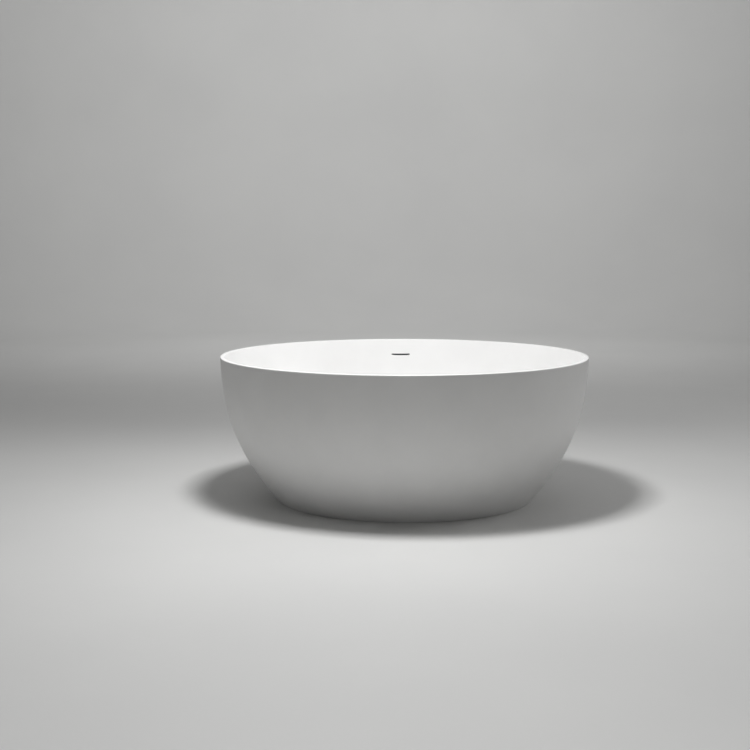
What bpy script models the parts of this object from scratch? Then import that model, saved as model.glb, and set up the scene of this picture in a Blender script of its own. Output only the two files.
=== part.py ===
"""Round freestanding bathtub: a cast outer shell and inner bowl, a click plug, a low trap and levelling feet.

Frame: metres, +Z up. The origin is the centre of the base, on the floor. The overflow is on the +Y side.
"""
from math import atan2, cos, hypot, pi, radians, sin, tan, tau

import bmesh
import bpy
import numpy as np
from mathutils import Matrix, Vector

GAP = 0.0003  # between pieces that touch

# The tub's outside and rim.
HEIGHT = 0.5742
RIM_RADIUS = 0.75
RIM_WIDTH = 0.018
RIM_EDGE = 0.005  # edge rounding
BASE_RADIUS = 0.5202
OUTER_WALL = ((BASE_RADIUS, 0.0), (0.6624, 0.1718), (0.7338, 0.2965), (RIM_RADIUS, HEIGHT))
SEAM_HEIGHT = HEIGHT - 0.030  # the shell is bonded under the bowl's rim band
SKIN = 0.010

# The shell's foot stands on the floor. A ring of plywood on the foot's ledge carries the feet.
FOOT_INNER = 0.498
BASE_EDGE = 0.003
FRAME_UNDER = 0.018
FRAME_TOP = 0.030
FRAME_INNER = 0.400
FRAME_OUTER = 0.517

# The bowl: a wall that sweeps into a floor falling to the waste.
FLOOR_EDGE_RADIUS = 0.400
FLOOR_EDGE_HEIGHT = 0.1262
WASTE_FLOOR_HEIGHT = 0.1190
FLOOR_FALL = (FLOOR_EDGE_HEIGHT - WASTE_FLOOR_HEIGHT) / FLOOR_EDGE_RADIUS
WALL_FOOT_REACH = 0.230
INNER_WALL = (
    (RIM_RADIUS - RIM_WIDTH, HEIGHT),
    (0.680, 0.420),
    (FLOOR_EDGE_RADIUS + WALL_FOOT_REACH, FLOOR_EDGE_HEIGHT + WALL_FOOT_REACH * FLOOR_FALL),
    (FLOOR_EDGE_RADIUS, FLOOR_EDGE_HEIGHT),
)
RECESS_RADIUS = 0.0365
RECESS_FLOOR = WASTE_FLOOR_HEIGHT - 0.003
WASTE_HOLE = 0.0265
WASTE_PAD = 0.045  # the floor is thicker out to here
BOWL_UNDER = WASTE_FLOOR_HEIGHT - 0.014

# Overflow slot in the bowl's wall, and the chamber behind it.
SLOT_HEIGHT = 0.505
SLOT_LENGTH = 0.084
SLOT_TALL = 0.007
SLOT_CORNER = 0.002
CHAMBER_BOTTOM = 0.440
CHAMBER_TOP = 0.524
CHAMBER_HALF_ANGLE = radians(4.4)
CHAMBER_WALL = 0.002
CHAMBER_BACK_GAP = 0.003
GASKET = 0.0015
GASKET_HALF_TALL = 0.010
GASKET_HALF_ANGLE = radians(4.0)

# Overflow hose and the spigots it is pushed onto.
HOSE_RADIUS = 0.0085
HOSE_BORE = 0.0074
SPIGOT_RADIUS = 0.0067
SPIGOT_BORE = 0.0052
SPIGOT_LENGTH = 0.016
SPIGOT_DISTANCE = 0.7110  # the chamber's spigot from the tub's axis
HOSE_TOP = CHAMBER_BOTTOM - 0.002
INLET_HEIGHT = 0.0800  # the waste body's overflow inlet
INLET_END = 0.0560
HOSE_END = 0.0400
CLIP_BORE = 0.0089
CLIP_RADIUS = 0.0102
CLIP_LENGTH = 0.008

# Waste: a flange through the bowl screws into the body below it.
WASTE_FLANGE_RADIUS = 0.0350
WASTE_FLANGE_TOP = WASTE_FLOOR_HEIGHT + 0.0015
WASTE_FLANGE_UNDER = RECESS_FLOOR + 0.0021
THROAT = 0.0205
WASTE_TUBE = 0.0240
WASTE_TUBE_END = 0.0890
BODY_DISC_RADIUS = 0.0370
BODY_DISC_TOP = 0.1004
BODY_DISC_UNDER = 0.0955
BODY_RADIUS = 0.0315
BODY_BORE = 0.0285
BODY_FLOOR = 0.0680
BODY_CONE_TOP = 0.0745  # the inside tapers to the dip tube from here
DIP_RADIUS = 0.0205
DIP_BORE = 0.0180
DIP_END = 0.0130

# Click plug.
PLUG_RADIUS = 0.0300
PLUG_UNDER = WASTE_FLANGE_TOP + GAP
PLUG_TOP = PLUG_UNDER + 0.0050
HUB_RADIUS = 0.0090
HUB_END = 0.1130
BOSS_RADIUS = 0.0085
BOSS_TOP = 0.0985
BAR_UNDER = 0.0905
BAR_TOP = 0.0945
BAR_WIDTH = 0.006
BARREL_RADIUS = 0.0050
BARREL_BORE = 0.0038
BARREL_END = 0.0720
BARREL_TOP = 0.1035
STEM_RADIUS = 0.0033
STEM_END = 0.0760
SPRING_RADIUS = 0.0068
SPRING_WIRE = 0.0006
SPRING_TURNS = 5

# Low drum trap, turning about the dip tube.
TRAP_RADIUS = 0.0500
TRAP_WALL = 0.0030
TRAP_BOTTOM = 0.0040
TRAP_TOP = 0.0560
LID_TOP = 0.0590
DIP_HOLE = 0.0211
NECK_RADIUS = 0.0262
NECK_BORE = 0.0242
NECK_TOP = 0.0622
NUT_RADIUS = 0.0320
NUT_TOP = 0.0660
OUTLET_HEIGHT = 0.0370
OUTLET_RADIUS = 0.0182
OUTLET_BORE = 0.0162  # for a 32 mm waste pipe
OUTLET_END = 0.0920
OUTLET_NUT_RADIUS = 0.0220
OUTLET_NUT_START = 0.0780
OUTLET_NUT_END = 0.0975

# Levelling feet and support blocks.
FEET = 4
FOOT_CIRCLE = 0.450
FOOT_ANGLE = radians(45)
PAD_RADIUS = 0.025
PAD_HEIGHT = 0.009
PAD_SOCKET = 0.0068
STUD_RADIUS = 0.0058
STUD_START = 0.0043
STUD_TOP = 0.066
STUD_BORE = 0.0064
HEX_SIZE = 0.017
HEX_TOP = 0.0172
INSERT_RADIUS = 0.0100
INSERT_COLLAR = 0.0150
INSERT_TOP = 0.0335
NUT_SIZE = 0.019
LOCKNUT_TOP = 0.0440
BLOCK_CIRCLE = 0.440
BLOCK_ANGLE = radians(15)
BLOCK_DEPTH = 0.044
BLOCK_WIDTH = 0.064
BLOCK_BED = 0.0020  # adhesive under the bowl

# Facets.
TUB_SIDES = 48
SIDES = 24
FOOT_SIDES = 12
HOSE_SIDES = 10


def clear_scene():
    for item in list(bpy.data.objects):
        bpy.data.objects.remove(item, do_unlink=True)


def make_material(name, colour, roughness, metallic=0.0):
    material = bpy.data.materials.new(name)
    material.use_nodes = True
    shader = material.node_tree.nodes["Principled BSDF"]
    shader.inputs["Base Color"].default_value = (*colour, 1.0)
    shader.inputs["Roughness"].default_value = roughness
    shader.inputs["Metallic"].default_value = metallic
    return material


def add_object(name, mesh, finish, location=(0.0, 0.0, 0.0), turn=0.0):
    """Turn a bmesh into an object with its own material, at a place and turned about Z."""
    bmesh.ops.recalc_face_normals(mesh, faces=mesh.faces)
    data = bpy.data.meshes.new(name)
    mesh.to_mesh(data)
    mesh.free()
    data.shade_smooth()
    data.set_sharp_from_angle(angle=radians(35))
    data.materials.append(make_material(name, *finish))
    item = bpy.data.objects.new(name, data)
    item.location = location
    item.rotation_euler.z = turn
    bpy.context.collection.objects.link(item)
    return item


def boolean(item, tool, operation="DIFFERENCE"):
    """Cut or join a tool, which stays as a hidden guide."""
    tool.hide_render = True
    tool.display_type = "WIRE"
    modifier = item.modifiers.new(tool.name, "BOOLEAN")
    modifier.operation = operation
    modifier.object = tool


# Finishes: colour, roughness, metallic.
CAST_STONE = ((0.80, 0.79, 0.77), 0.35)
CHROME = ((0.75, 0.76, 0.78), 0.12, 1.0)
STEEL = ((0.55, 0.56, 0.57), 0.35, 1.0)
BRASS = ((0.70, 0.52, 0.26), 0.35, 1.0)
RUBBER = ((0.03, 0.03, 0.03), 0.75)
SILICONE = ((0.70, 0.70, 0.68), 0.55)
WHITE_PLASTIC = ((0.78, 0.78, 0.76), 0.40)
GREY_PLASTIC = ((0.30, 0.31, 0.32), 0.50)
PLYWOOD = ((0.62, 0.46, 0.28), 0.80)
GUIDE = ((0.5, 0.5, 0.5), 0.5)


def bezier(curve, t):
    weights = np.array([(1 - t) ** 3, 3 * t * (1 - t) ** 2, 3 * t * t * (1 - t), t ** 3])
    return tuple(weights @ np.array(curve))


def bezier_points(curve, steps, start=0.0, end=1.0):
    return [bezier(curve, t) for t in np.linspace(start, end, steps + 1)]


def offset_points(curve, distance, steps):
    """Points beside a curve, on its left for a positive distance."""
    points = []
    for t in np.linspace(0.0, 1.0, steps + 1):
        here = np.array(bezier(curve, t))
        ahead = np.array(bezier(curve, t + 0.001)) - np.array(bezier(curve, t - 0.001))
        normal = np.array([-ahead[1], ahead[0]]) / np.linalg.norm(ahead)
        points.append(tuple(here + distance * normal))
    return points


def radius_at(points, height):
    ordered = sorted(points, key=lambda point: point[1])
    return float(np.interp(height, [z for _, z in ordered], [r for r, _ in ordered]))


def height_at(points, radius):
    ordered = sorted(points)
    return float(np.interp(radius, [r for r, _ in ordered], [z for _, z in ordered]))


def parameter_at(curve, height):
    """Where a curve that climbs reaches a height."""
    steps = np.linspace(0.0, 1.0, 2001)
    return float(np.interp(height, [bezier(curve, t)[1] for t in steps], steps))


def rounded(corners, steps=3):
    """A closed outline through corners, where a corner's third value rounds it."""
    outline = []
    for before, corner, after in zip(corners[-1:] + corners[:-1], corners, corners[1:] + corners[:1]):
        here = Vector(corner[:2])
        if len(corner) == 2:
            outline.append(tuple(here))
            continue
        back = (Vector(before[:2]) - here).normalized()
        forward = (Vector(after[:2]) - here).normalized()
        half = back.angle(forward) / 2
        pivot = here + (back + forward).normalized() * corner[2] / sin(half)
        first = here + back * corner[2] / tan(half) - pivot
        last = here + forward * corner[2] / tan(half) - pivot
        start = atan2(first.y, first.x)
        sweep = (atan2(last.y, last.x) - start + pi) % tau - pi
        for i in range(steps + 1):
            angle = start + sweep * i / steps
            outline.append((pivot.x + corner[2] * cos(angle), pivot.y + corner[2] * sin(angle)))
    return outline


def turned(outline, sides=SIDES):
    """A solid of revolution about Z. An outline that starts and ends on the axis stays open there."""
    mesh = bmesh.new()
    verts = [mesh.verts.new((r, 0.0, z)) for r, z in outline]
    pairs = list(zip(verts, verts[1:]))
    if outline[0][0] > 0:
        pairs.append((verts[-1], verts[0]))
    edges = [mesh.edges.new(pair) for pair in pairs]
    bmesh.ops.spin(mesh, geom=verts + edges, cent=(0, 0, 0), axis=(0, 0, 1), angle=tau, steps=sides,
                   use_merge=True)
    bmesh.ops.remove_doubles(mesh, verts=mesh.verts, dist=1e-6)
    return mesh


def ring(outer, inner, bottom, top, sides=SIDES):
    return turned([(inner, bottom), (outer, bottom), (outer, top), (inner, top)], sides)


def rod(radius, bottom, top, sides=SIDES):
    return turned([(0.0, bottom), (radius, bottom), (radius, top), (0.0, top)], sides)


def make_hexagonal(mesh, beyond, across_flats):
    """Pull the vertices beyond a radius onto a hexagon."""
    for vert in mesh.verts:
        if vert.co.xy.length > beyond:
            angle = (atan2(vert.co.y, vert.co.x) + pi / 6) % (pi / 3) - pi / 6
            vert.co.xy = vert.co.xy.normalized() * across_flats / 2 / cos(angle)


def swept_tube(path, outer, inner, sides):
    """An open tube along a path in the plane x = 0."""
    mesh = bmesh.new()
    skins = []
    for radius in (outer, inner):
        loops = []
        for i, point in enumerate(path):
            ahead = (path[min(i + 1, len(path) - 1)] - path[max(i - 1, 0)]).normalized()
            across = ahead.cross(Vector((1, 0, 0)))
            loop = []
            for k in range(sides):
                angle = tau * k / sides
                spoke = Vector((1, 0, 0)) * cos(angle) + across * sin(angle)
                loop.append(mesh.verts.new(point + spoke * radius))
            loops.append(loop)
        skins.append(loops)
    strips = [pair for loops in skins for pair in zip(loops, loops[1:])]
    strips += [(skins[0][0], skins[1][0]), (skins[0][-1], skins[1][-1])]
    for one, other in strips:
        for k in range(sides):
            mesh.faces.new((one[k], one[k - 1], other[k - 1], other[k]))
    return mesh


def sector(outline, half_angle, steps):
    """A closed outline in (r, z) swept about Z to both sides of +Y."""
    mesh = bmesh.new()
    loops = []
    for i in range(steps + 1):
        angle = pi / 2 - half_angle + 2 * half_angle * i / steps
        loops.append([mesh.verts.new((r * cos(angle), r * sin(angle), z)) for r, z in outline])
    for one, other in zip(loops, loops[1:]):
        for k in range(len(outline)):
            mesh.faces.new((one[k], one[k - 1], other[k - 1], other[k]))
    mesh.faces.new(loops[0])
    mesh.faces.new(loops[-1])
    return mesh


def slot_prism(length, tall, start, end):
    """A round-cornered slot shape at the slot's height in XZ, run along Y."""
    corners = [(side * length / 2, level * tall / 2, SLOT_CORNER)
               for side, level in ((-1, -1), (1, -1), (1, 1), (-1, 1))]
    mesh = bmesh.new()
    face = mesh.faces.new([mesh.verts.new((x, start, SLOT_HEIGHT + z)) for x, z in rounded(corners)])
    pulled = bmesh.ops.extrude_face_region(mesh, geom=[face])["geom"]
    end_verts = [item for item in pulled if isinstance(item, bmesh.types.BMVert)]
    bmesh.ops.translate(mesh, vec=(0, end - start, 0), verts=end_verts)
    return mesh


def laid(mesh, axis, height):
    """Lay a mesh made about Z along +X or +Y, at a height."""
    turn = Matrix.Rotation(pi / 2, 4, "Y") if axis == "X" else Matrix.Rotation(-pi / 2, 4, "X")
    bmesh.ops.transform(mesh, matrix=Matrix.Translation((0, 0, height)) @ turn, verts=mesh.verts)
    return mesh


def smooth_route(points, steps):
    """Points along a smooth curve through a route (Catmull-Rom)."""
    route = [2 * points[0] - points[1]] + points + [2 * points[-1] - points[-2]]
    path = []
    for before, here, after, beyond in zip(route, route[1:], route[2:], route[3:]):
        for i in range(steps):
            t = i / steps
            path.append(0.5 * (2 * here + (after - before) * t
                               + (2 * before - 5 * here + 4 * after - beyond) * t ** 2
                               + (3 * here - before - 3 * after + beyond) * t ** 3))
    return path + [points[-1]]


SHELL_INNER = offset_points(OUTER_WALL, SKIN, 40)
BOWL_OUTER = offset_points(INNER_WALL, SKIN, 40)


def foot_places():
    """Name suffix, location and turn of each foot."""
    for i in range(FEET):
        angle = FOOT_ANGLE + tau * i / FEET
        yield i + 1, (FOOT_CIRCLE * cos(angle), FOOT_CIRCLE * sin(angle), 0.0), angle


def make_outer_shell():
    seam = SEAM_HEIGHT - GAP
    ledge = FRAME_UNDER - GAP
    skin = [point for point in offset_points(OUTER_WALL, SKIN, 7) if ledge + 0.01 < point[1] < seam - 0.01]
    skin = [(radius_at(SHELL_INNER, ledge), ledge)] + skin + [(radius_at(SHELL_INNER, seam), seam)]
    outline = rounded(
        [(BASE_RADIUS, 0.0, BASE_EDGE)]
        + bezier_points(OUTER_WALL, 8, 0.0, parameter_at(OUTER_WALL, seam))[1:]
        + skin[::-1]
        + [(FOOT_INNER, ledge), (FOOT_INNER, 0.0)]
    )
    add_object("outer_shell", turned(outline, TUB_SIDES), CAST_STONE)


def make_base_frame():
    board = ring(FRAME_OUTER, FRAME_INNER, FRAME_UNDER, FRAME_TOP, TUB_SIDES)
    frame = add_object("base_frame", board, PLYWOOD)
    for number, place, _ in foot_places():
        hole = rod(INSERT_RADIUS + 2 * GAP, FRAME_UNDER - 0.01, FRAME_TOP + 0.01, FOOT_SIDES)
        boolean(frame, add_object(f"insert_hole_{number}", hole, GUIDE, place))


def make_inner_bowl():
    def floor_at(radius):
        return WASTE_FLOOR_HEIGHT + FLOOR_FALL * radius

    skin = [point for point in offset_points(INNER_WALL, SKIN, 9) if point[1] < SEAM_HEIGHT - 0.01]
    outline = rounded(
        [(WASTE_HOLE, BOWL_UNDER), (WASTE_PAD, BOWL_UNDER), (WASTE_PAD + 0.01, floor_at(WASTE_PAD) - SKIN)]
        + skin[::-1]
        + [(radius_at(BOWL_OUTER, SEAM_HEIGHT), SEAM_HEIGHT)]
        + bezier_points(OUTER_WALL, 2, parameter_at(OUTER_WALL, SEAM_HEIGHT), 1.0)[:-1]
        + [(RIM_RADIUS, HEIGHT, RIM_EDGE), (RIM_RADIUS - RIM_WIDTH, HEIGHT, RIM_EDGE)]
        + bezier_points(INNER_WALL, 11)[1:]
        + [(RECESS_RADIUS, floor_at(RECESS_RADIUS)), (RECESS_RADIUS, RECESS_FLOOR)]
        + [(WASTE_HOLE, RECESS_FLOOR)]
    )
    bowl = add_object("inner_bowl", turned(outline, TUB_SIDES), CAST_STONE)
    wall = radius_at(BOWL_OUTER, SLOT_HEIGHT)
    slot = slot_prism(SLOT_LENGTH, SLOT_TALL, wall - 2.5 * SKIN, wall + SKIN)
    boolean(bowl, add_object("slot_tool", slot, GUIDE))


def make_support_block(number):
    """A block whose top follows the bowl's floor. It is made along +X and turned to its place."""
    mesh = bmesh.new()
    for side in (-1, 1):
        for end in (-1, 1):
            x = BLOCK_CIRCLE + end * BLOCK_DEPTH / 2
            y = side * BLOCK_WIDTH / 2
            top = height_at(BOWL_OUTER, hypot(x, y)) - BLOCK_BED
            mesh.verts.new((x, y, FRAME_TOP + GAP))
            mesh.verts.new((x, y, top))
    bmesh.ops.convex_hull(mesh, input=mesh.verts)
    turn = BLOCK_ANGLE + tau * (number - 1) / FEET
    add_object(f"support_block_{number}", mesh, PLYWOOD, turn=turn)


def make_foot(number, place, turn):
    bore = STUD_BORE
    insert = turned([
        (bore, FRAME_UNDER), (INSERT_RADIUS, FRAME_UNDER), (INSERT_RADIUS, FRAME_TOP + GAP),
        (INSERT_COLLAR, FRAME_TOP + GAP), (INSERT_COLLAR, INSERT_TOP), (bore, INSERT_TOP),
    ], FOOT_SIDES)
    add_object(f"foot_insert_{number}", insert, BRASS, place, turn)

    locknut = ring(NUT_SIZE / 2, bore, INSERT_TOP + GAP, LOCKNUT_TOP, FOOT_SIDES)
    make_hexagonal(locknut, NUT_SIZE / 2 - 0.001, NUT_SIZE)
    add_object(f"foot_locknut_{number}", locknut, STEEL, place, turn)

    stud = turned([
        (0.0, STUD_START), (STUD_RADIUS, STUD_START), (STUD_RADIUS, PAD_HEIGHT + GAP),
        (HEX_SIZE / 2, PAD_HEIGHT + GAP), (HEX_SIZE / 2, HEX_TOP), (STUD_RADIUS, HEX_TOP),
        (STUD_RADIUS, STUD_TOP - 0.001), (STUD_RADIUS - 0.001, STUD_TOP), (0.0, STUD_TOP),
    ], FOOT_SIDES)
    make_hexagonal(stud, STUD_RADIUS + 0.001, HEX_SIZE)
    add_object(f"foot_stud_{number}", stud, STEEL, place, turn)

    pad = turned([
        (0.0, 0.0), (PAD_RADIUS - 0.0015, 0.0), (PAD_RADIUS, 0.0015), (PAD_RADIUS, 0.005),
        (PAD_RADIUS / 2, PAD_HEIGHT), (PAD_SOCKET, PAD_HEIGHT), (PAD_SOCKET, STUD_START - GAP),
        (0.0, STUD_START - GAP),
    ], SIDES)
    add_object(f"foot_pad_{number}", pad, RUBBER, place, turn)


def make_waste_fittings():
    flange = turned(rounded([
        (THROAT, WASTE_TUBE_END), (WASTE_TUBE, WASTE_TUBE_END), (WASTE_TUBE, WASTE_FLANGE_UNDER),
        (WASTE_FLANGE_RADIUS, WASTE_FLANGE_UNDER), (WASTE_FLANGE_RADIUS, WASTE_FLANGE_TOP, 0.001),
        (THROAT, WASTE_FLANGE_TOP, 0.0015),
    ]))
    flange = add_object("waste_flange", flange, CHROME)
    bar = bmesh.new()
    bmesh.ops.create_cube(bar, size=1.0)
    bmesh.ops.scale(bar, vec=(THROAT + WASTE_TUBE, BAR_WIDTH, BAR_TOP - BAR_UNDER), verts=bar.verts)
    bmesh.ops.translate(bar, vec=(0, 0, (BAR_TOP + BAR_UNDER) / 2), verts=bar.verts)
    boolean(flange, add_object("crossbar_tool", bar, GUIDE), "UNION")
    boolean(flange, add_object("boss_tool", rod(BOSS_RADIUS, BAR_UNDER - 0.001, BOSS_TOP), GUIDE), "UNION")
    hole = rod(BARREL_RADIUS + GAP, BAR_UNDER - 0.01, BOSS_TOP + 0.01)
    boolean(flange, add_object("barrel_hole_tool", hole, GUIDE))

    top_seal = ring(WASTE_FLANGE_RADIUS - 2 * GAP, WASTE_HOLE + 2 * GAP,
                    RECESS_FLOOR + GAP, WASTE_FLANGE_UNDER - GAP)
    add_object("waste_top_seal", top_seal, SILICONE)
    bottom_seal = ring(WASTE_FLANGE_RADIUS, WASTE_TUBE + 3 * GAP, BODY_DISC_TOP + GAP, BOWL_UNDER - GAP)
    add_object("waste_bottom_seal", bottom_seal, RUBBER)

    neck = WASTE_TUBE + GAP
    body = turned([
        (DIP_BORE, DIP_END), (DIP_RADIUS, DIP_END), (DIP_RADIUS, BODY_FLOOR),
        (BODY_RADIUS, BODY_CONE_TOP - 0.003), (BODY_RADIUS, BODY_DISC_UNDER),
        (BODY_DISC_RADIUS, BODY_DISC_UNDER), (BODY_DISC_RADIUS, BODY_DISC_TOP),
        (neck, BODY_DISC_TOP), (neck, BODY_DISC_UNDER), (BODY_BORE, BODY_DISC_UNDER - 0.002),
        (BODY_BORE, BODY_CONE_TOP), (DIP_BORE, BODY_FLOOR + 0.002),
    ])
    body = add_object("waste_body", body, WHITE_PLASTIC)
    spigot = laid(rod(SPIGOT_RADIUS, BODY_BORE + 0.0015, INLET_END), "Y", INLET_HEIGHT)
    boolean(body, add_object("inlet_tool", spigot, GUIDE), "UNION")
    bore = laid(rod(SPIGOT_BORE, BODY_BORE - 0.006, INLET_END + 0.01), "Y", INLET_HEIGHT)
    boolean(body, add_object("inlet_bore_tool", bore, GUIDE))


def make_plug():
    edge = PLUG_UNDER + 0.0025
    rises = [pi / 2 * i / 6 for i in range(6)]
    dome = [(PLUG_RADIUS * cos(rise), edge + (PLUG_TOP - edge) * sin(rise)) for rise in rises]
    hub = [(0.0, HUB_END), (HUB_RADIUS, HUB_END), (HUB_RADIUS, PLUG_UNDER), (PLUG_RADIUS, PLUG_UNDER)]
    cap = turned(hub + dome + [(0.0, PLUG_TOP)])
    add_object("plug_cap", cap, CHROME)
    seal = ring(THROAT - 0.0004, HUB_RADIUS + GAP, PLUG_UNDER - 0.0042, PLUG_UNDER - 0.0008)
    add_object("plug_seal", seal, SILICONE)
    add_object("plug_stem", rod(STEM_RADIUS, STEM_END, HUB_END - GAP), BRASS)

    barrel = turned([
        (0.0, BARREL_END), (BARREL_RADIUS, BARREL_END), (BARREL_RADIUS, BARREL_TOP),
        (BARREL_BORE, BARREL_TOP), (BARREL_BORE, BARREL_END + 0.002), (0.0, BARREL_END + 0.002),
    ])
    add_object("click_barrel", barrel, BRASS)
    make_plug_spring()


def make_plug_spring():
    """A coil of round wire between the crossbar's boss and the plug's hub."""
    low = BOSS_TOP + SPRING_WIRE + GAP
    high = HUB_END - SPRING_WIRE - GAP
    steps = 12 * SPRING_TURNS
    sides = 4
    mesh = bmesh.new()
    loops = []
    for i in range(steps + 1):
        angle = tau * SPRING_TURNS * i / steps
        outward = Vector((cos(angle), sin(angle), 0))
        centre = outward * SPRING_RADIUS + Vector((0, 0, low + (high - low) * i / steps))
        loop = []
        for k in range(sides):
            around = tau * k / sides
            offset = (outward * cos(around) + Vector((0, 0, 1)) * sin(around)) * SPRING_WIRE
            loop.append(mesh.verts.new(centre + offset))
        loops.append(loop)
    for one, other in zip(loops, loops[1:]):
        for k in range(sides):
            mesh.faces.new((one[k], one[k - 1], other[k - 1], other[k]))
    mesh.faces.new(loops[0])
    mesh.faces.new(loops[-1])
    add_object("plug_spring", mesh, STEEL)


def make_trap():
    cup = turned(
        [(0.0, TRAP_BOTTOM), (TRAP_RADIUS - 0.003, TRAP_BOTTOM), (TRAP_RADIUS, TRAP_BOTTOM + 0.003),
         (TRAP_RADIUS, TRAP_TOP), (TRAP_RADIUS - TRAP_WALL, TRAP_TOP),
         (TRAP_RADIUS - TRAP_WALL, TRAP_BOTTOM + TRAP_WALL), (0.0, TRAP_BOTTOM + TRAP_WALL)])
    trap = add_object("trap_body", cup, WHITE_PLASTIC)
    outlet = laid(rod(OUTLET_RADIUS, TRAP_RADIUS - TRAP_WALL - 0.001, OUTLET_END), "X", OUTLET_HEIGHT)
    boolean(trap, add_object("outlet_tool", outlet, GUIDE), "UNION")
    bore = laid(rod(OUTLET_BORE, TRAP_RADIUS - 0.012, OUTLET_END + 0.01), "X", OUTLET_HEIGHT)
    boolean(trap, add_object("outlet_bore_tool", bore, GUIDE))

    seat = LID_TOP + GAP
    lid = turned([
        (DIP_HOLE, TRAP_TOP + GAP), (TRAP_RADIUS, TRAP_TOP + GAP), (TRAP_RADIUS, LID_TOP),
        (NECK_RADIUS, LID_TOP), (NECK_RADIUS, NECK_TOP), (NECK_BORE, NECK_TOP), (NECK_BORE, seat),
        (DIP_HOLE, seat),
    ])
    add_object("trap_lid", lid, WHITE_PLASTIC)
    seal = ring(NECK_BORE - GAP, DIP_HOLE, seat + GAP, NECK_TOP - GAP)
    add_object("trap_inlet_seal", seal, RUBBER)
    nut = turned([
        (NECK_RADIUS + GAP, LID_TOP + 2 * GAP), (NUT_RADIUS, LID_TOP + 2 * GAP), (NUT_RADIUS, NUT_TOP),
        (DIP_HOLE, NUT_TOP), (DIP_HOLE, NECK_TOP + GAP), (NECK_RADIUS + GAP, NECK_TOP + GAP),
    ])
    make_hexagonal(nut, NUT_RADIUS - 0.001, 2 * NUT_RADIUS - 0.004)
    add_object("trap_inlet_nut", nut, GREY_PLASTIC)

    lip = OUTLET_NUT_END - 0.002
    seal = ring(OUTLET_RADIUS, OUTLET_BORE + 0.0005, OUTLET_END + GAP, lip - GAP)
    add_object("trap_outlet_seal", laid(seal, "X", OUTLET_HEIGHT), RUBBER)
    nut = turned([
        (OUTLET_RADIUS + GAP, OUTLET_NUT_START), (OUTLET_NUT_RADIUS, OUTLET_NUT_START),
        (OUTLET_NUT_RADIUS, OUTLET_NUT_END), (OUTLET_BORE + 0.0005, OUTLET_NUT_END),
        (OUTLET_BORE + 0.0005, lip), (OUTLET_RADIUS + GAP, lip),
    ])
    make_hexagonal(nut, OUTLET_NUT_RADIUS - 0.001, 2 * OUTLET_NUT_RADIUS - 0.003)
    add_object("trap_outlet_nut", laid(nut, "X", OUTLET_HEIGHT), GREY_PLASTIC)


def chamber_outline(front_gap, back_gap, bottom, top):
    """The space between the bowl and the shell, in (r, z), less a gap at each side."""
    levels = np.linspace(bottom, top, 4)
    front = [(radius_at(BOWL_OUTER, z) + front_gap, z) for z in levels]
    back = [(radius_at(SHELL_INNER, z) - back_gap, z) for z in levels]
    return back + front[::-1]


def make_overflow():
    front_gap = GASKET + 2 * GAP
    wall = CHAMBER_WALL
    outline = chamber_outline(front_gap, CHAMBER_BACK_GAP, CHAMBER_BOTTOM, CHAMBER_TOP)
    box = add_object("overflow_box", sector(outline, CHAMBER_HALF_ANGLE, 4), GREY_PLASTIC)
    inside = chamber_outline(
        front_gap + wall, CHAMBER_BACK_GAP + wall, CHAMBER_BOTTOM + wall, CHAMBER_TOP - wall)
    hollow = sector(inside, CHAMBER_HALF_ANGLE - wall / RIM_RADIUS, 4)
    boolean(box, add_object("hollow_tool", hollow, GUIDE))
    skin = radius_at(BOWL_OUTER, SLOT_HEIGHT)
    mouth_end = skin + front_gap + 2 * wall
    mouth = slot_prism(SLOT_LENGTH, SLOT_TALL + 0.001, skin - SKIN, mouth_end)
    boolean(box, add_object("mouth_tool", mouth, GUIDE))
    place = (0.0, SPIGOT_DISTANCE, 0.0)
    spigot = rod(SPIGOT_RADIUS, CHAMBER_BOTTOM - SPIGOT_LENGTH, CHAMBER_BOTTOM + wall / 2)
    boolean(box, add_object("spigot_tool", spigot, GUIDE, place), "UNION")
    bore = rod(SPIGOT_BORE, CHAMBER_BOTTOM - SPIGOT_LENGTH - 0.01, CHAMBER_BOTTOM + 2 * wall)
    boolean(box, add_object("spigot_bore_tool", bore, GUIDE, place))

    low, high = SLOT_HEIGHT - GASKET_HALF_TALL, SLOT_HEIGHT + GASKET_HALF_TALL
    gasket = sector([
        (radius_at(BOWL_OUTER, low) + GAP + GASKET, low), (radius_at(BOWL_OUTER, high) + GAP + GASKET, high),
        (radius_at(BOWL_OUTER, high) + GAP, high), (radius_at(BOWL_OUTER, low) + GAP, low),
    ], GASKET_HALF_ANGLE, 4)
    gasket = add_object("overflow_gasket", gasket, RUBBER)
    hole = slot_prism(SLOT_LENGTH + 0.002, SLOT_TALL + 0.002, skin - SKIN, skin + SKIN)
    boolean(gasket, add_object("gasket_hole_tool", hole, GUIDE))
    make_overflow_hose()


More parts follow.
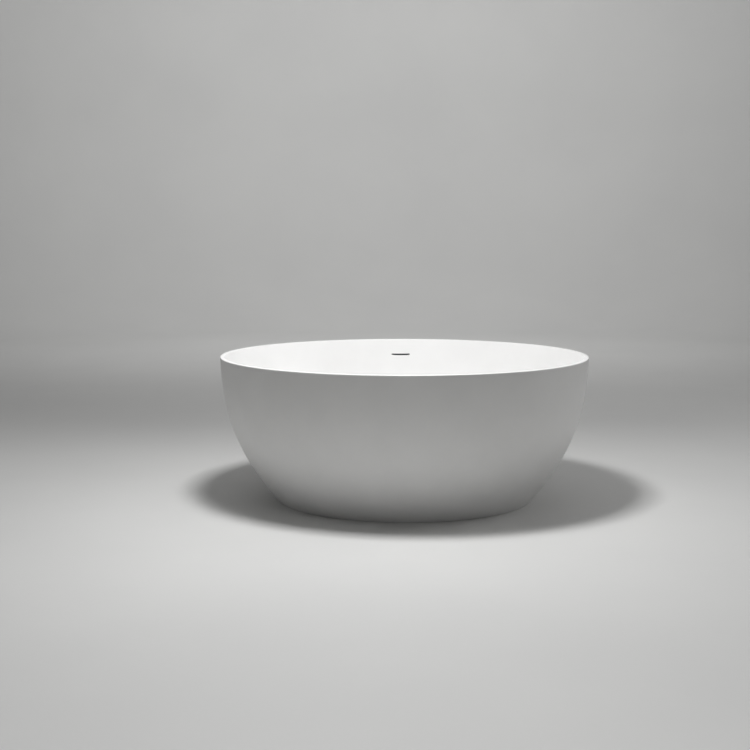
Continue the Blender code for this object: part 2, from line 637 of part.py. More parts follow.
def make_overflow_hose():
    """A hose down between the skins and in under the bowl, held by a clip at each end."""
    def between_skins(height):
        return (radius_at(BOWL_OUTER, height) + radius_at(SHELL_INNER, height)) / 2, height

    route = [
        (SPIGOT_DISTANCE, HOSE_TOP), (SPIGOT_DISTANCE, HOSE_TOP - 0.008), (SPIGOT_DISTANCE, HOSE_TOP - 0.016),
        (SPIGOT_DISTANCE - 0.0015, HOSE_TOP - 0.033), between_skins(0.370), between_skins(0.320),
        between_skins(0.260), between_skins(0.200), (0.550, 0.135), (0.480, 0.098), (0.380, 0.083),
        (0.240, INLET_HEIGHT), (0.120, INLET_HEIGHT), (INLET_END, INLET_HEIGHT), (HOSE_END, INLET_HEIGHT),
    ]
    path = smooth_route([Vector((0.0, distance, height)) for distance, height in route], 2)
    add_object("overflow_hose", swept_tube(path, HOSE_RADIUS, HOSE_BORE, HOSE_SIDES), GREY_PLASTIC)
    top_clip = ring(CLIP_RADIUS, CLIP_BORE, HOSE_TOP - 0.011, HOSE_TOP - 0.011 + CLIP_LENGTH)
    add_object("hose_clip_top", top_clip, STEEL, (0.0, SPIGOT_DISTANCE, 0.0))
    bottom_clip = ring(CLIP_RADIUS, CLIP_BORE, HOSE_END + 0.003, HOSE_END + 0.003 + CLIP_LENGTH)
    add_object("hose_clip_bottom", laid(bottom_clip, "Y", INLET_HEIGHT), STEEL)


def main():
    clear_scene()
    make_outer_shell()
    make_inner_bowl()
    make_base_frame()
    for number, place, turn in foot_places():
        make_support_block(number)
        make_foot(number, place, turn)
    make_waste_fittings()
    make_plug()
    make_trap()
    make_overflow()


main()
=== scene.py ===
"""Looks of the round freestanding bathtub: smooth cast surfaces, fittings, floor, light and camera."""
from math import atan2, cos, hypot, pi, radians, sin, tan, tau

import bmesh
import bpy
import numpy as np
from mathutils import Matrix, Vector


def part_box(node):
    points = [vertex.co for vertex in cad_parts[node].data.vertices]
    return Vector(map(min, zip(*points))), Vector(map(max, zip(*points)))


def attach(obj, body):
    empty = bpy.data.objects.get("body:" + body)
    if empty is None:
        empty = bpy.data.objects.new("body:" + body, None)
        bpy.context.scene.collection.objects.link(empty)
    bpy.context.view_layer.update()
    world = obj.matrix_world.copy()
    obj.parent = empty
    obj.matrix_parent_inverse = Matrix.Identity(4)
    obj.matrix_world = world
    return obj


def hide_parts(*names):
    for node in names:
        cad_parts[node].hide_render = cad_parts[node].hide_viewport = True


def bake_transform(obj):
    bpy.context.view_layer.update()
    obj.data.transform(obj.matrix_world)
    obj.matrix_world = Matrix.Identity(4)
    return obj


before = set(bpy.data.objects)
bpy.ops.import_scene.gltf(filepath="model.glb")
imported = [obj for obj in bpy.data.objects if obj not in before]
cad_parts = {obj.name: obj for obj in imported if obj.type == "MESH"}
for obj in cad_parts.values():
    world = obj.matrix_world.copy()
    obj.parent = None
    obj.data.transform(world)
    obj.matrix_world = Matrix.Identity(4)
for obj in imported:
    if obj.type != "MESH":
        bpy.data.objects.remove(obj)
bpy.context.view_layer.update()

# A gap between pieces that touch, in metres as all sizes here.
SEAT_GAP = 0.0003

# The tub's outline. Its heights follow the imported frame.
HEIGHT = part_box("inner_bowl")[1].z
RIM_RADIUS = 0.75
RIM_WIDTH = 0.018
RIM_EDGE = 0.003
BASE_RADIUS = 0.5202
BASE_EDGE = 0.0012
SKIN = 0.01
OUTER_WALL = ((BASE_RADIUS, 0.0), (0.6624, 0.1718), (0.7338, 0.2965), (RIM_RADIUS, HEIGHT))
SEAM_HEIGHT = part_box("outer_shell")[1].z
FOOT_INNER = 0.498
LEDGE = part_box("base_frame")[0].z - SEAT_GAP
FLOOR_EDGE_RADIUS = 0.4
FLOOR_EDGE_HEIGHT = 0.1262
WASTE_FLOOR_HEIGHT = 0.119
FLOOR_FALL = (FLOOR_EDGE_HEIGHT - WASTE_FLOOR_HEIGHT) / FLOOR_EDGE_RADIUS
WALL_FOOT_REACH = 0.23
INNER_WALL = (
    (RIM_RADIUS - RIM_WIDTH, HEIGHT),
    (0.68, 0.42),
    (FLOOR_EDGE_RADIUS + WALL_FOOT_REACH, FLOOR_EDGE_HEIGHT + WALL_FOOT_REACH * FLOOR_FALL),
    (FLOOR_EDGE_RADIUS, FLOOR_EDGE_HEIGHT),
)
RECESS_RADIUS = 0.0365
RECESS_FLOOR = WASTE_FLOOR_HEIGHT - 0.003
WASTE_HOLE = 0.0265
WASTE_PAD = 0.045
BOWL_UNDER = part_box("inner_bowl")[0].z
WALL_STEPS = 110
JOINT_MARGIN = 0.004  # how far a wall's own points keep from where it ends

# The overflow slot. Its bottom falls as it goes outward, so that it drains.
SLOT_HEIGHT = 0.505
SLOT_LENGTH = 0.084
SLOT_TALL = 0.007
SLOT_CORNER = 0.0008
SLOT_EASE = 0.0005
SLOT_FALL = 0.003

# How many sides turned pieces have, from the castings to the smallest fittings.
TUB_SIDES = 192
RIBBED_SIDES = 144
FINE_SIDES = 96
SIDES = 64
SMALL_SIDES = 48
TINY_SIDES = 32


# ---- outlines

def bezier(curve, t):
    weights = np.array([(1 - t) ** 3, 3 * t * (1 - t) ** 2, 3 * t * t * (1 - t), t ** 3])
    return tuple(weights @ np.array(curve))


def bezier_points(curve, steps, start=0.0, end=1.0):
    return [bezier(curve, t) for t in np.linspace(start, end, steps + 1)]


def offset_points(curve, distance, steps):
    """Points beside a curve, on its left for a positive distance."""
    points = []
    for t in np.linspace(0.0, 1.0, steps + 1):
        here = np.array(bezier(curve, t))
        ahead = np.array(bezier(curve, t + 0.001)) - np.array(bezier(curve, t - 0.001))
        normal = np.array([-ahead[1], ahead[0]]) / np.linalg.norm(ahead)
        points.append(tuple(here + distance * normal))
    return points


def radius_at(points, height):
    """The radius of a wall's points at a height."""
    ordered = sorted(points, key=lambda point: point[1])
    return float(np.interp(height, [z for _, z in ordered], [r for r, _ in ordered]))


def parameter_at(curve, height):
    """Where a curve that climbs reaches a height."""
    steps = np.linspace(0.0, 1.0, 2001)
    return float(np.interp(height, [bezier(curve, t)[1] for t in steps], steps))


def rounded(corners, steps=6):
    """A closed outline through corners, where a corner's third value rounds it."""
    outline = []
    for before, corner, after in zip(corners[-1:] + corners[:-1], corners, corners[1:] + corners[:1]):
        here = Vector(corner[:2])
        if len(corner) == 2:
            outline.append(tuple(here))
            continue
        back = (Vector(before[:2]) - here).normalized()
        forward = (Vector(after[:2]) - here).normalized()
        half = back.angle(forward) / 2
        pivot = here + (back + forward).normalized() * corner[2] / sin(half)
        first = here + back * corner[2] / tan(half) - pivot
        last = here + forward * corner[2] / tan(half) - pivot
        start = atan2(first.y, first.x)
        sweep = (atan2(last.y, last.x) - start + pi) % tau - pi
        for i in range(steps + 1):
            angle = start + sweep * i / steps
            outline.append((pivot.x + corner[2] * cos(angle), pivot.y + corner[2] * sin(angle)))
    return outline


# The faces of the two castings that look at each other, as points to measure from.
SHELL_INNER = offset_points(OUTER_WALL, SKIN, 60)
BOWL_OUTER = offset_points(INNER_WALL, SKIN, 60)


# ---- meshes

DEGENERATE = 0.000004  # an edge this short is taken out
OVERRUN = 0.01  # how far a cutting tool runs past what it cuts


def turned(outline, sides=SIDES, shape=None):
    """Vertices and faces of an outline turned about Z. shape(angle, r, z) may change a radius."""
    verts, rings = [], []
    for r, z in outline:
        if r == 0:
            rings.append([len(verts)] * sides)
            verts.append((0.0, 0.0, z))
            continue
        rings.append(list(range(len(verts), len(verts) + sides)))
        for k in range(sides):
            angle = tau * k / sides
            radius = shape(angle, r, z) if shape else r
            verts.append((radius * cos(angle), radius * sin(angle), z))
    pairs = list(zip(rings, rings[1:]))
    if outline[0][0] > 0:
        pairs.append((rings[-1], rings[0]))
    faces = []
    for low, high in pairs:
        for k in range(sides):
            corners = (low[k], low[(k + 1) % sides], high[(k + 1) % sides], high[k])
            faces.append(tuple(dict.fromkeys(corners)))
    return verts, faces


def tube_faces(count, steps):
    """The faces of a closed tube of rings of count points, step after step, with flat ends."""
    faces = []
    for start in range(0, steps * count, count):
        for k in range(count):
            before = (k - 1) % count
            faces.append((start + k, start + before, start + count + before, start + count + k))
    return faces + [tuple(range(count)), tuple(range(steps * count, (steps + 1) * count))]


def ring_points(centre, one, other, radius, sides):
    """Points round a centre in the plane of two directions."""
    angles = [tau * k / sides for k in range(sides)]
    return [tuple(centre + (one * cos(angle) + other * sin(angle)) * radius) for angle in angles]


def new_mesh(name, verts, faces):
    data = bpy.data.meshes.new(name)
    data.from_pydata(verts, [], faces)
    return data


def new_object(name, data):
    item = bpy.data.objects.new(name, data)
    bpy.context.collection.objects.link(item)
    return item


def clean_mesh(data, sharp):
    """No faces without an area, all turned outward, smooth but for edges past an angle in degrees."""
    tidy = bmesh.new()
    tidy.from_mesh(data)
    bmesh.ops.dissolve_degenerate(tidy, dist=DEGENERATE, edges=tidy.edges)
    bmesh.ops.recalc_face_normals(tidy, faces=tidy.faces)
    tidy.to_mesh(data)
    tidy.free()
    data.shade_smooth()
    data.set_sharp_from_angle(angle=radians(sharp))


def plain(mesh):
    """(verts, faces) of a bmesh, which is freed."""
    mesh.verts.index_update()
    result = [tuple(v.co) for v in mesh.verts], [tuple(v.index for v in face.verts) for face in mesh.faces]
    mesh.free()
    return result


def combined(mesh, tool, operation):
    """(verts, faces) of a mesh joined with a tool, or cut by it."""
    items = []
    for name, shape in (("blank", mesh), ("tool", tool)):
        data = new_mesh(name, *shape)
        clean_mesh(data, 30)
        items.append(new_object(name, data))
    modifier = items[0].modifiers.new("boolean", "BOOLEAN")
    modifier.operation = operation
    modifier.object = items[1]
    bpy.context.view_layer.update()
    shape = items[0].evaluated_get(bpy.context.evaluated_depsgraph_get()).to_mesh()
    result = [tuple(v.co) for v in shape.vertices], [tuple(face.vertices) for face in shape.polygons]
    for item in items:
        bpy.data.objects.remove(item)
    return result


def merged(meshes):
    """Several (verts, faces) as one."""
    verts, faces = [], []
    for more_verts, more_faces in meshes:
        faces += [tuple(index + len(verts) for index in face) for face in more_faces]
        verts += more_verts
    return verts, faces


def moved(mesh, matrix):
    """(verts, faces) moved by a matrix."""
    return [tuple(matrix @ Vector(vert)) for vert in mesh[0]], mesh[1]


def rod(radius, start, end, sides):
    """A solid rod along Z, for cutting a round hole."""
    return turned([(0.0, start), (radius, start), (radius, end), (0.0, end)], sides)


def slot_prism(length, tall, start, end, fall=0.0):
    """A round-cornered slot shape at the slot's height in XZ, run along Y, its bottom falling as it goes."""
    corners = [(side * length / 2, level * tall / 2, SLOT_CORNER)
               for side, level in ((-1, -1), (1, -1), (1, 1), (-1, 1))]
    outline = rounded(corners)
    verts = [(x, start, SLOT_HEIGHT + z) for x, z in outline]
    verts += [(x, end, SLOT_HEIGHT + z - fall * (z < 0.0)) for x, z in outline]
    return verts, tube_faces(len(outline), 1)


def dress(name, mesh, slot, body, *nodes, matrix=None, sharp=35):
    """A shown piece made of (verts, faces), in its slot's finish, on a body and in place of CAD nodes."""
    data = new_mesh(name, *mesh)
    if matrix:
        data.transform(matrix)
    clean_mesh(data, sharp)
    data.materials.append(FINISHES[slot])
    item = new_object(name, data)
    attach(item, body)
    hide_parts(*nodes)


# ---- materials

def new_material(name):
    material = bpy.data.materials.new(name)
    material.use_nodes = True
    tree = material.node_tree
    return material, tree, tree.nodes["Principled BSDF"]


def noise(tree, vector, scale, detail=4.0):
    node = tree.nodes.new("ShaderNodeTexNoise")
    node.inputs["Scale"].default_value = scale
    node.inputs["Detail"].default_value = detail
    node.inputs["Roughness"].default_value = 0.55
    tree.links.new(vector, node.inputs["Vector"])
    return node.outputs["Fac"]


def object_vector(tree, stretch=(1.0, 1.0, 1.0)):
    coordinates = tree.nodes.new("ShaderNodeTexCoord")
    mapping = tree.nodes.new("ShaderNodeMapping")
    mapping.inputs["Scale"].default_value = stretch
    tree.links.new(coordinates.outputs["Object"], mapping.inputs["Vector"])
    return mapping.outputs["Vector"]


def ramp(tree, factor, dark, light, low=0.35, high=0.65):
    """Dark below one factor, light above another, and a blend between them."""
    node = tree.nodes.new("ShaderNodeValToRGB")
    node.color_ramp.elements[0].position = low
    node.color_ramp.elements[0].color = (*dark, 1.0)
    node.color_ramp.elements[1].position = high
    node.color_ramp.elements[1].color = (*light, 1.0)
    tree.links.new(factor, node.inputs["Fac"])
    return node.outputs["Color"]


def spread(tree, factor, low, high):
    """A factor of 0 to 1 stretched over a range."""
    node = tree.nodes.new("ShaderNodeMapRange")
    node.inputs["To Min"].default_value = low
    node.inputs["To Max"].default_value = high
    tree.links.new(factor, node.inputs["Value"])
    return node.outputs["Result"]


def bump(tree, shader, height, distance):
    """Relief of a given depth in metres."""
    node = tree.nodes.new("ShaderNodeBump")
    node.inputs["Strength"].default_value = 1.0
    node.inputs["Distance"].default_value = distance
    tree.links.new(height, node.inputs["Height"])
    tree.links.new(node.outputs["Normal"], shader.inputs["Normal"])


def surface(name, dark, light, rough, cloud, grain, depth, metallic):
    """A finish with soft clouds of colour, and a fine grain in its gloss and relief."""
    material, tree, shader = new_material(name)
    vector = object_vector(tree)
    clouds = noise(tree, vector, cloud)
    fine = noise(tree, vector, grain, detail=3.0)
    tree.links.new(ramp(tree, clouds, dark, light), shader.inputs["Base Color"])
    tree.links.new(spread(tree, fine, *rough), shader.inputs["Roughness"])
    shader.inputs["Metallic"].default_value = metallic
    bump(tree, shader, fine, depth)
    return material


# Each finish: its name, the dark and light of its clouds, its range of roughness,
# then how fine its clouds and its grain are, the grain's depth, and how metallic it is.
FINISH_TABLE = {
    "cast_stone": ("matt_cast_stone", (0.792, 0.79, 0.784), (0.812, 0.81, 0.804), (0.42, 0.54),
                   7.0, 900.0, 0.00004, 0.0),
    "chrome": ("polished_chrome", (0.62, 0.63, 0.65), (0.72, 0.73, 0.75), (0.07, 0.16),
               40.0, 700.0, 0.00001, 1.0),
    "steel": ("zinc_plate", (0.42, 0.43, 0.44), (0.58, 0.59, 0.6), (0.28, 0.48),
              130.0, 900.0, 0.00004, 1.0),
    "brass": ("machined_brass", (0.52, 0.36, 0.14), (0.72, 0.54, 0.26), (0.22, 0.42),
              90.0, 800.0, 0.00004, 1.0),
    "rubber": ("black_rubber", (0.016, 0.016, 0.016), (0.032, 0.032, 0.031), (0.62, 0.85),
               60.0, 1200.0, 0.00008, 0.0),
    "silicone": ("milky_silicone", (0.58, 0.58, 0.56), (0.72, 0.72, 0.7), (0.42, 0.58),
                 50.0, 900.0, 0.00003, 0.0),
    "white_plastic": ("moulded_white_plastic", (0.66, 0.66, 0.64), (0.76, 0.76, 0.74), (0.34, 0.5),
                      30.0, 1100.0, 0.00004, 0.0),
    # This near-black is partly the plastic's own colour and partly painted shade: it darkens the inside of
    # the overflow slot.
    "grey_plastic": ("moulded_dark_plastic_and_slot_shade", (0.05, 0.051, 0.055), (0.08, 0.081, 0.086), (0.38, 0.58),
                     30.0, 1100.0, 0.00005, 0.0),
}
FLOOR_FINISH = ("studio_floor", (0.661, 0.661, 0.654), (0.684, 0.684, 0.675), (0.55, 0.75),
                0.8, 60.0, 0.0002, 0.0)
SILICONE_GLOW = 0.2
SILICONE_GLOW_DEPTH = (0.004, 0.004, 0.004)
VENEER_BANDS = 105.0  # the wave scale that gives the plywood's layers


def make_finishes():
    finishes = {slot: surface(*row) for slot, row in FINISH_TABLE.items()}
    milky = finishes["silicone"].node_tree.nodes["Principled BSDF"]
    milky.inputs["Subsurface Weight"].default_value = SILICONE_GLOW
    milky.inputs["Subsurface Radius"].default_value = SILICONE_GLOW_DEPTH
    finishes["ply"] = make_plywood()
    return finishes


def make_plywood():
    """Thin veneers stacked along Z, with grain along X."""
    material, tree, shader = new_material("marine_plywood")
    layers = tree.nodes.new("ShaderNodeTexWave")
    layers.wave_type = "BANDS"
    layers.bands_direction = "Z"
    layers.inputs["Scale"].default_value = VENEER_BANDS
    layers.inputs["Distortion"].default_value = 0.6
    layers.inputs["Detail"].default_value = 2.0
    tree.links.new(object_vector(tree), layers.inputs["Vector"])
    grain = noise(tree, object_vector(tree, (6.0, 90.0, 90.0)), 2.0, detail=8.0)
    veneer = ramp(tree, layers.outputs["Fac"], (0.3, 0.17, 0.08), (0.58, 0.42, 0.25), 0.3, 0.7)
    streaks = ramp(tree, grain, (0.62, 0.6, 0.58), (1.0, 1.0, 1.0), 0.3, 0.7)
    mix = tree.nodes.new("ShaderNodeMixRGB")
    mix.blend_type = "MULTIPLY"
    mix.inputs["Fac"].default_value = 1.0
    tree.links.new(veneer, mix.inputs["Color1"])
    tree.links.new(streaks, mix.inputs["Color2"])
    tree.links.new(mix.outputs["Color"], shader.inputs["Base Color"])
    tree.links.new(spread(tree, grain, 0.55, 0.85), shader.inputs["Roughness"])
    bump(tree, shader, grain, 0.0003)
    return material


FINISHES = make_finishes()


# ---- the castings

def make_outer_wall():
    """The shell, from its foot up to the seam under the rim and down its inner face."""
    inner_face = [point for point in offset_points(OUTER_WALL, SKIN, 40)
                  if LEDGE + JOINT_MARGIN < point[1] < SEAM_HEIGHT - JOINT_MARGIN]
    outline = rounded(
        [(BASE_RADIUS, 0.0, BASE_EDGE)]
        + bezier_points(OUTER_WALL, WALL_STEPS, 0.0, parameter_at(OUTER_WALL, SEAM_HEIGHT))[2:]
        + [(radius_at(SHELL_INNER, SEAM_HEIGHT), SEAM_HEIGHT)]
        + inner_face[::-1]
        + [(radius_at(SHELL_INNER, LEDGE), LEDGE)]
        + [(FOOT_INNER, LEDGE, 0.001), (FOOT_INNER, 0.0, 0.002)]
    )
    dress("outer_wall", turned(outline, TUB_SIDES), "cast_stone", "tub", "outer_shell", sharp=50)


def cut_slot(mesh):
    """Cut the overflow slot through the bowl's far wall and ease its edges."""
    def by_slot(vert):
        return abs(vert.co.z - SLOT_HEIGHT) < SLOT_TALL and abs(vert.co.x) < SLOT_LENGTH and vert.co.y > 0.0

    wall = radius_at(BOWL_OUTER, SLOT_HEIGHT)
    slot = slot_prism(SLOT_LENGTH, SLOT_TALL, wall - 1.2 * SKIN, wall + SKIN, SLOT_FALL)
    bowl = bmesh.new()
    bowl.from_mesh(new_mesh("cut_bowl", *combined(mesh, slot, "DIFFERENCE")))
    edges = [edge for edge in bowl.edges if len(edge.link_faces) == 2
             and all(by_slot(vert) for vert in edge.verts) and edge.calc_face_angle() > radians(40)]
    bmesh.ops.bevel(bowl, geom=edges, offset=SLOT_EASE, segments=3, profile=0.5, affect="EDGES")
    return plain(bowl)


def make_bowl():
    """The bowl and its rim, from the waste hole out under the bowl, over the rim and back down inside."""
    def floor_at(radius):
        return WASTE_FLOOR_HEIGHT + FLOOR_FALL * radius

    under = [point for point in offset_points(INNER_WALL, SKIN, 40) if point[1] < SEAM_HEIGHT - JOINT_MARGIN]
    outline = rounded(
        [(WASTE_HOLE, BOWL_UNDER, 0.001), (WASTE_PAD, BOWL_UNDER)]
        + [(WASTE_PAD + SKIN, floor_at(WASTE_PAD) - SKIN)]
        + under[::-1]
        + [(radius_at(BOWL_OUTER, SEAM_HEIGHT), SEAM_HEIGHT)]
        + bezier_points(OUTER_WALL, 5, parameter_at(OUTER_WALL, SEAM_HEIGHT), 1.0)[:-2]
        + [(RIM_RADIUS, HEIGHT, RIM_EDGE), (RIM_RADIUS - RIM_WIDTH, HEIGHT, RIM_EDGE)]
        + bezier_points(INNER_WALL, WALL_STEPS)[2:]
        + [(0.9 * FLOOR_EDGE_RADIUS, floor_at(0.9 * FLOOR_EDGE_RADIUS))]
        + [(RECESS_RADIUS + 0.004, floor_at(RECESS_RADIUS)), (RECESS_RADIUS, floor_at(RECESS_RADIUS), 0.001)]
        + [(RECESS_RADIUS, RECESS_FLOOR, 0.0005), (WASTE_HOLE, RECESS_FLOOR, 0.0005)]
    )
    dress("bowl_casting", cut_slot(turned(outline, TUB_SIDES)), "cast_stone", "tub", "inner_bowl", sharp=50)


# ---- fittings

PLUG_RADIUS = 0.03
PLUG_EDGE = 0.0025
HUB_RADIUS = 0.009
PLUG_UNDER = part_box("waste_flange")[1].z + SEAT_GAP
THROAT = 0.0205
WASTE_TUBE = 0.024
WASTE_FLANGE_RADIUS = 0.035
WASTE_FLANGE_UNDER = RECESS_FLOOR + 0.0021
BOSS_RADIUS = 0.0085
BOSS_BORE = 0.0053
BOSS_TOP = 0.0985
BAR_UNDER = 0.0905
BAR_TOP = 0.0945
BAR_WIDTH = 0.006
BAR_SINK = 0.0006  # how far the crossbar's arms run into its boss, and twice that into the tube
FLANGE_THREAD = 0.002  # pitch of the waste tube's thread
THREAD_DEPTH = 0.0009
THREAD_STEPS = 8  # points along one turn of a thread

FLAT_STEP = 0.0006  # between the levels of a nut's wall, so that its corners curve
FLATS_REACH = 0.0005  # how far inside its flats a hexagon still takes points as its wall

# How steeply the corners of a metal nut, and of a plastic one, are turned off: run over rise.
CHAMFER_SLOPE = 1.7
PLASTIC_SLOPE = 5.0


def span(node, axis="z"):
    """Where a CAD node starts and ends along an axis."""
    low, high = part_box(node)
    return getattr(low, axis), getattr(high, axis)


def laid(axis, height):
    """The matrix that lays a piece made about Z along +X or +Y, at a height."""
    turn = Matrix.Rotation(pi / 2, 4, "Y") if axis == "X" else Matrix.Rotation(-pi / 2, 4, "X")
    return Matrix.Translation((0, 0, height)) @ turn


def soft_ring(outer, inner, bottom, top, ease, sides=SIDES):
    """A ring with rounded edges."""
    corners = [(inner, bottom, ease), (outer, bottom, ease), (outer, top, ease), (inner, top, ease)]
    return turned(rounded(corners, 4), sides)


def sector(outline, half_angle, steps):
    """A closed outline in (r, z) swept about Z to both sides of +Y."""
    verts = []
    for i in range(steps + 1):
        angle = pi / 2 - half_angle + 2 * half_angle * i / steps
        verts += [(r * cos(angle), r * sin(angle), z) for r, z in outline]
    return verts, tube_faces(len(outline), steps)


def block(size, centre, edge=0.0005):
    """A box with eased edges, as (verts, faces)."""
    mesh = bmesh.new()
    bmesh.ops.create_cube(mesh, size=1.0)
    bmesh.ops.scale(mesh, vec=size, verts=mesh.verts)
    bmesh.ops.translate(mesh, vec=centre, verts=mesh.verts)
    bmesh.ops.bevel(mesh, geom=mesh.edges[:], offset=edge, segments=2, profile=0.5, affect="EDGES")
    return plain(mesh)


def wall_points(radius, start, end, step):
    """Points up a turned wall about a step apart, for a shape to work on."""
    heights = np.linspace(start, end, max(2, round(abs(end - start) / step) + 1))
    return [(radius, float(z)) for z in heights]


def thread(low, high, pitch, depth):
    """A shape that cuts a helical thread into a turned wall between two heights."""
    def shape(angle, r, z):
        if not low <= z <= high:
            return r
        phase = (z / pitch - angle / tau) % 1.0
        return r - depth * abs(2 * phase - 1)
    return shape


def hexagon(across_flats, low, high, slope=CHAMFER_SLOPE):
    """A shape that gives a turned wall six flats, with its corners turned off at both ends."""
    half = across_flats / 2

    def shape(angle, r, z):
        if r < half - FLATS_REACH:
            return r
        return min(half / cos((angle + pi / 6) % (pi / 3) - pi / 6), half + slope * min(z - low, high - z))
    return shape


def ribbed(count, depth, beyond):
    """A shape that gives a turned wall upright grip ribs."""
    def shape(angle, r, z):
        return r - depth * (0.5 - 0.5 * cos(count * angle)) if r > beyond else r
    return shape


def make_plug():
    """The plug's domed cap and the hub under it."""
    hub_end, top = span("plug_cap")
    edge = PLUG_UNDER + PLUG_EDGE
    shares = np.linspace(0.95, 0.05, 19)
    dome = [(PLUG_RADIUS * share, edge + (top - edge) * (1 - share * share)) for share in shares]
    outline = rounded(
        [(0.0, hub_end), (HUB_RADIUS, hub_end, 0.0005), (HUB_RADIUS, PLUG_UNDER)]
        + [(PLUG_RADIUS, PLUG_UNDER, 0.0004), (PLUG_RADIUS, edge, 0.0008)] + dome + [(0.0, top)])
    dress("plug_top", turned(outline, FINE_SIDES), "chrome", "plug", "plug_cap", sharp=40)


def make_waste_flange():
    """The flange with its threaded tube, and the crossbar with a boss that holds the click mechanism."""
    low, high = span("waste_flange")
    wall = wall_points(WASTE_TUBE, low + 0.0004, WASTE_FLANGE_UNDER - 0.0004, FLANGE_THREAD / THREAD_STEPS)
    outline = rounded(
        [(THROAT, low)] + wall
        + [(WASTE_TUBE, WASTE_FLANGE_UNDER), (WASTE_FLANGE_RADIUS, WASTE_FLANGE_UNDER, 0.0003)]
        + [(WASTE_FLANGE_RADIUS, high, 0.0012), (THROAT, high, 0.0016)])
    screw = thread(low, WASTE_FLANGE_UNDER - 0.003, FLANGE_THREAD, THREAD_DEPTH)

    def shape(angle, r, z):
        return screw(angle, r, z) if abs(r - WASTE_TUBE) < SEAT_GAP else r

    ring = turned(outline, FINE_SIDES, shape)
    boss = turned(rounded([
        (BOSS_BORE, BAR_UNDER, 0.0003), (BOSS_RADIUS, BAR_UNDER, 0.0005),
        (BOSS_RADIUS, BOSS_TOP, 0.0005), (BOSS_BORE, BOSS_TOP, 0.0003),
    ], 3), SMALL_SIDES)
    start, end = BOSS_RADIUS - BAR_SINK, THROAT + 2 * BAR_SINK
    size = (end - start, BAR_WIDTH, BAR_TOP - BAR_UNDER)
    height = (BAR_TOP + BAR_UNDER) / 2
    arms = [block(size, (side * (start + end) / 2, 0.0, height)) for side in (-1, 1)]
    dress("waste_ring", merged([ring, boss] + arms), "chrome", "tub", "waste_flange", sharp=40)


# The levelling feet.
FEET = range(1, 5)
STUD_RADIUS = 0.0058
THREAD_PITCH = 0.00175
PAD_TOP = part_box("foot_pad_1")[1].z
PAD_SOCKET = 0.0068
PAD_TREADS = (0.021, 0.017, 0.013, 0.009)
TREAD_HALF = 0.0006
TREAD_DEPTH = 0.0008
HEX_SIZE = 0.017
HEX_LOW = PAD_TOP + SEAT_GAP
HEX_TOP = 0.0172
STUD_BORE = 0.0064
INSERT_RADIUS = 0.01
INSERT_COLLAR = 0.015
NUT_SIZE = 0.019


def foot_matrix(number):
    """Where a foot stands, turned to face away from the tub's middle."""
    low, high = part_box(f"foot_pad_{number}")
    middle = (low + high) / 2
    angle = atan2(middle.y, middle.x)
    return Matrix.Translation((middle.x, middle.y, 0.0)) @ Matrix.Rotation(angle, 4, "Z")


def stud_mesh():
    """A threaded stud with a hexagon for the spanner near its foot."""
    low, high = span("foot_stud_1")
    outline = (
        [(0.0, low), (STUD_RADIUS - 0.0008, low), (STUD_RADIUS, low + 0.0008), (STUD_RADIUS, HEX_LOW)]
        + wall_points(HEX_SIZE / 2, HEX_LOW, HEX_TOP, FLAT_STEP)
        + wall_points(STUD_RADIUS, HEX_TOP, high - 0.001, THREAD_PITCH / THREAD_STEPS)
        + [(STUD_RADIUS - 0.001, high), (0.0, high)])
    flats = hexagon(HEX_SIZE, HEX_LOW, HEX_TOP)
    screw = thread(HEX_TOP + 0.001, high, THREAD_PITCH, THREAD_DEPTH)
    return turned(outline, SMALL_SIDES, lambda angle, r, z: screw(angle, flats(angle, r, z), z))


def insert_mesh():
    """A knurled threaded insert with a smooth collar."""
    low, high = span("foot_insert_1")
    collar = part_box("base_frame")[1].z + SEAT_GAP
    wall = wall_points(INSERT_RADIUS, low + 0.001, collar - 0.001, 0.0005)
    outline = rounded(
        [(STUD_BORE, low, 0.0004), (INSERT_RADIUS - 0.0006, low)] + wall + [(INSERT_RADIUS - 0.0003, collar)]
        + [(INSERT_COLLAR, collar, 0.0004), (INSERT_COLLAR, high, 0.0006), (STUD_BORE, high, 0.0004)], 4)
    knurl = ribbed(36, 0.0005, 0.9 * INSERT_RADIUS)
    return turned(outline, RIBBED_SIDES, lambda angle, r, z: knurl(angle, r, z) if z < collar - 0.0005 else r)


def locknut_mesh():
    """A hexagonal nut on the insert's collar."""
    low, high = span("foot_locknut_1")
    wall = wall_points(NUT_SIZE / 2, low, high, FLAT_STEP)
    outline = [(STUD_BORE + 0.0004, low), (STUD_BORE + 0.0012, low)] + wall
    outline += [(STUD_BORE + 0.0012, high), (STUD_BORE + 0.0004, high)]
    outline += [(STUD_BORE, high - 0.0005), (STUD_BORE, low + 0.0005)]
    return turned(outline, SMALL_SIDES, hexagon(NUT_SIZE, low, high))


def pad_mesh():
    """A pad with round grooves in its sole and a socket that the stud turns in."""
    low, high = span("foot_pad_1", "x")
    radius = (high - low) / 2
    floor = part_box("foot_stud_1")[0].z - SEAT_GAP
    sole = []
    for tread in PAD_TREADS:
        sole += [(tread + TREAD_HALF, 0.0), (tread, TREAD_DEPTH), (tread - TREAD_HALF, 0.0)]
    outline = [(0.0, 0.0)] + sole[::-1] + rounded(
        [(radius - 0.0012, 0.0, 0.0005), (radius, 0.0015, 0.0008), (radius, 0.005, 0.001)]
        + [(radius / 2, PAD_TOP, 0.002), (PAD_SOCKET + 0.0006, PAD_TOP)]
        + [(PAD_SOCKET, PAD_TOP - 0.0006), (PAD_SOCKET, floor)], 4)
    return turned(outline + [(0.0, floor)], FINE_SIDES)


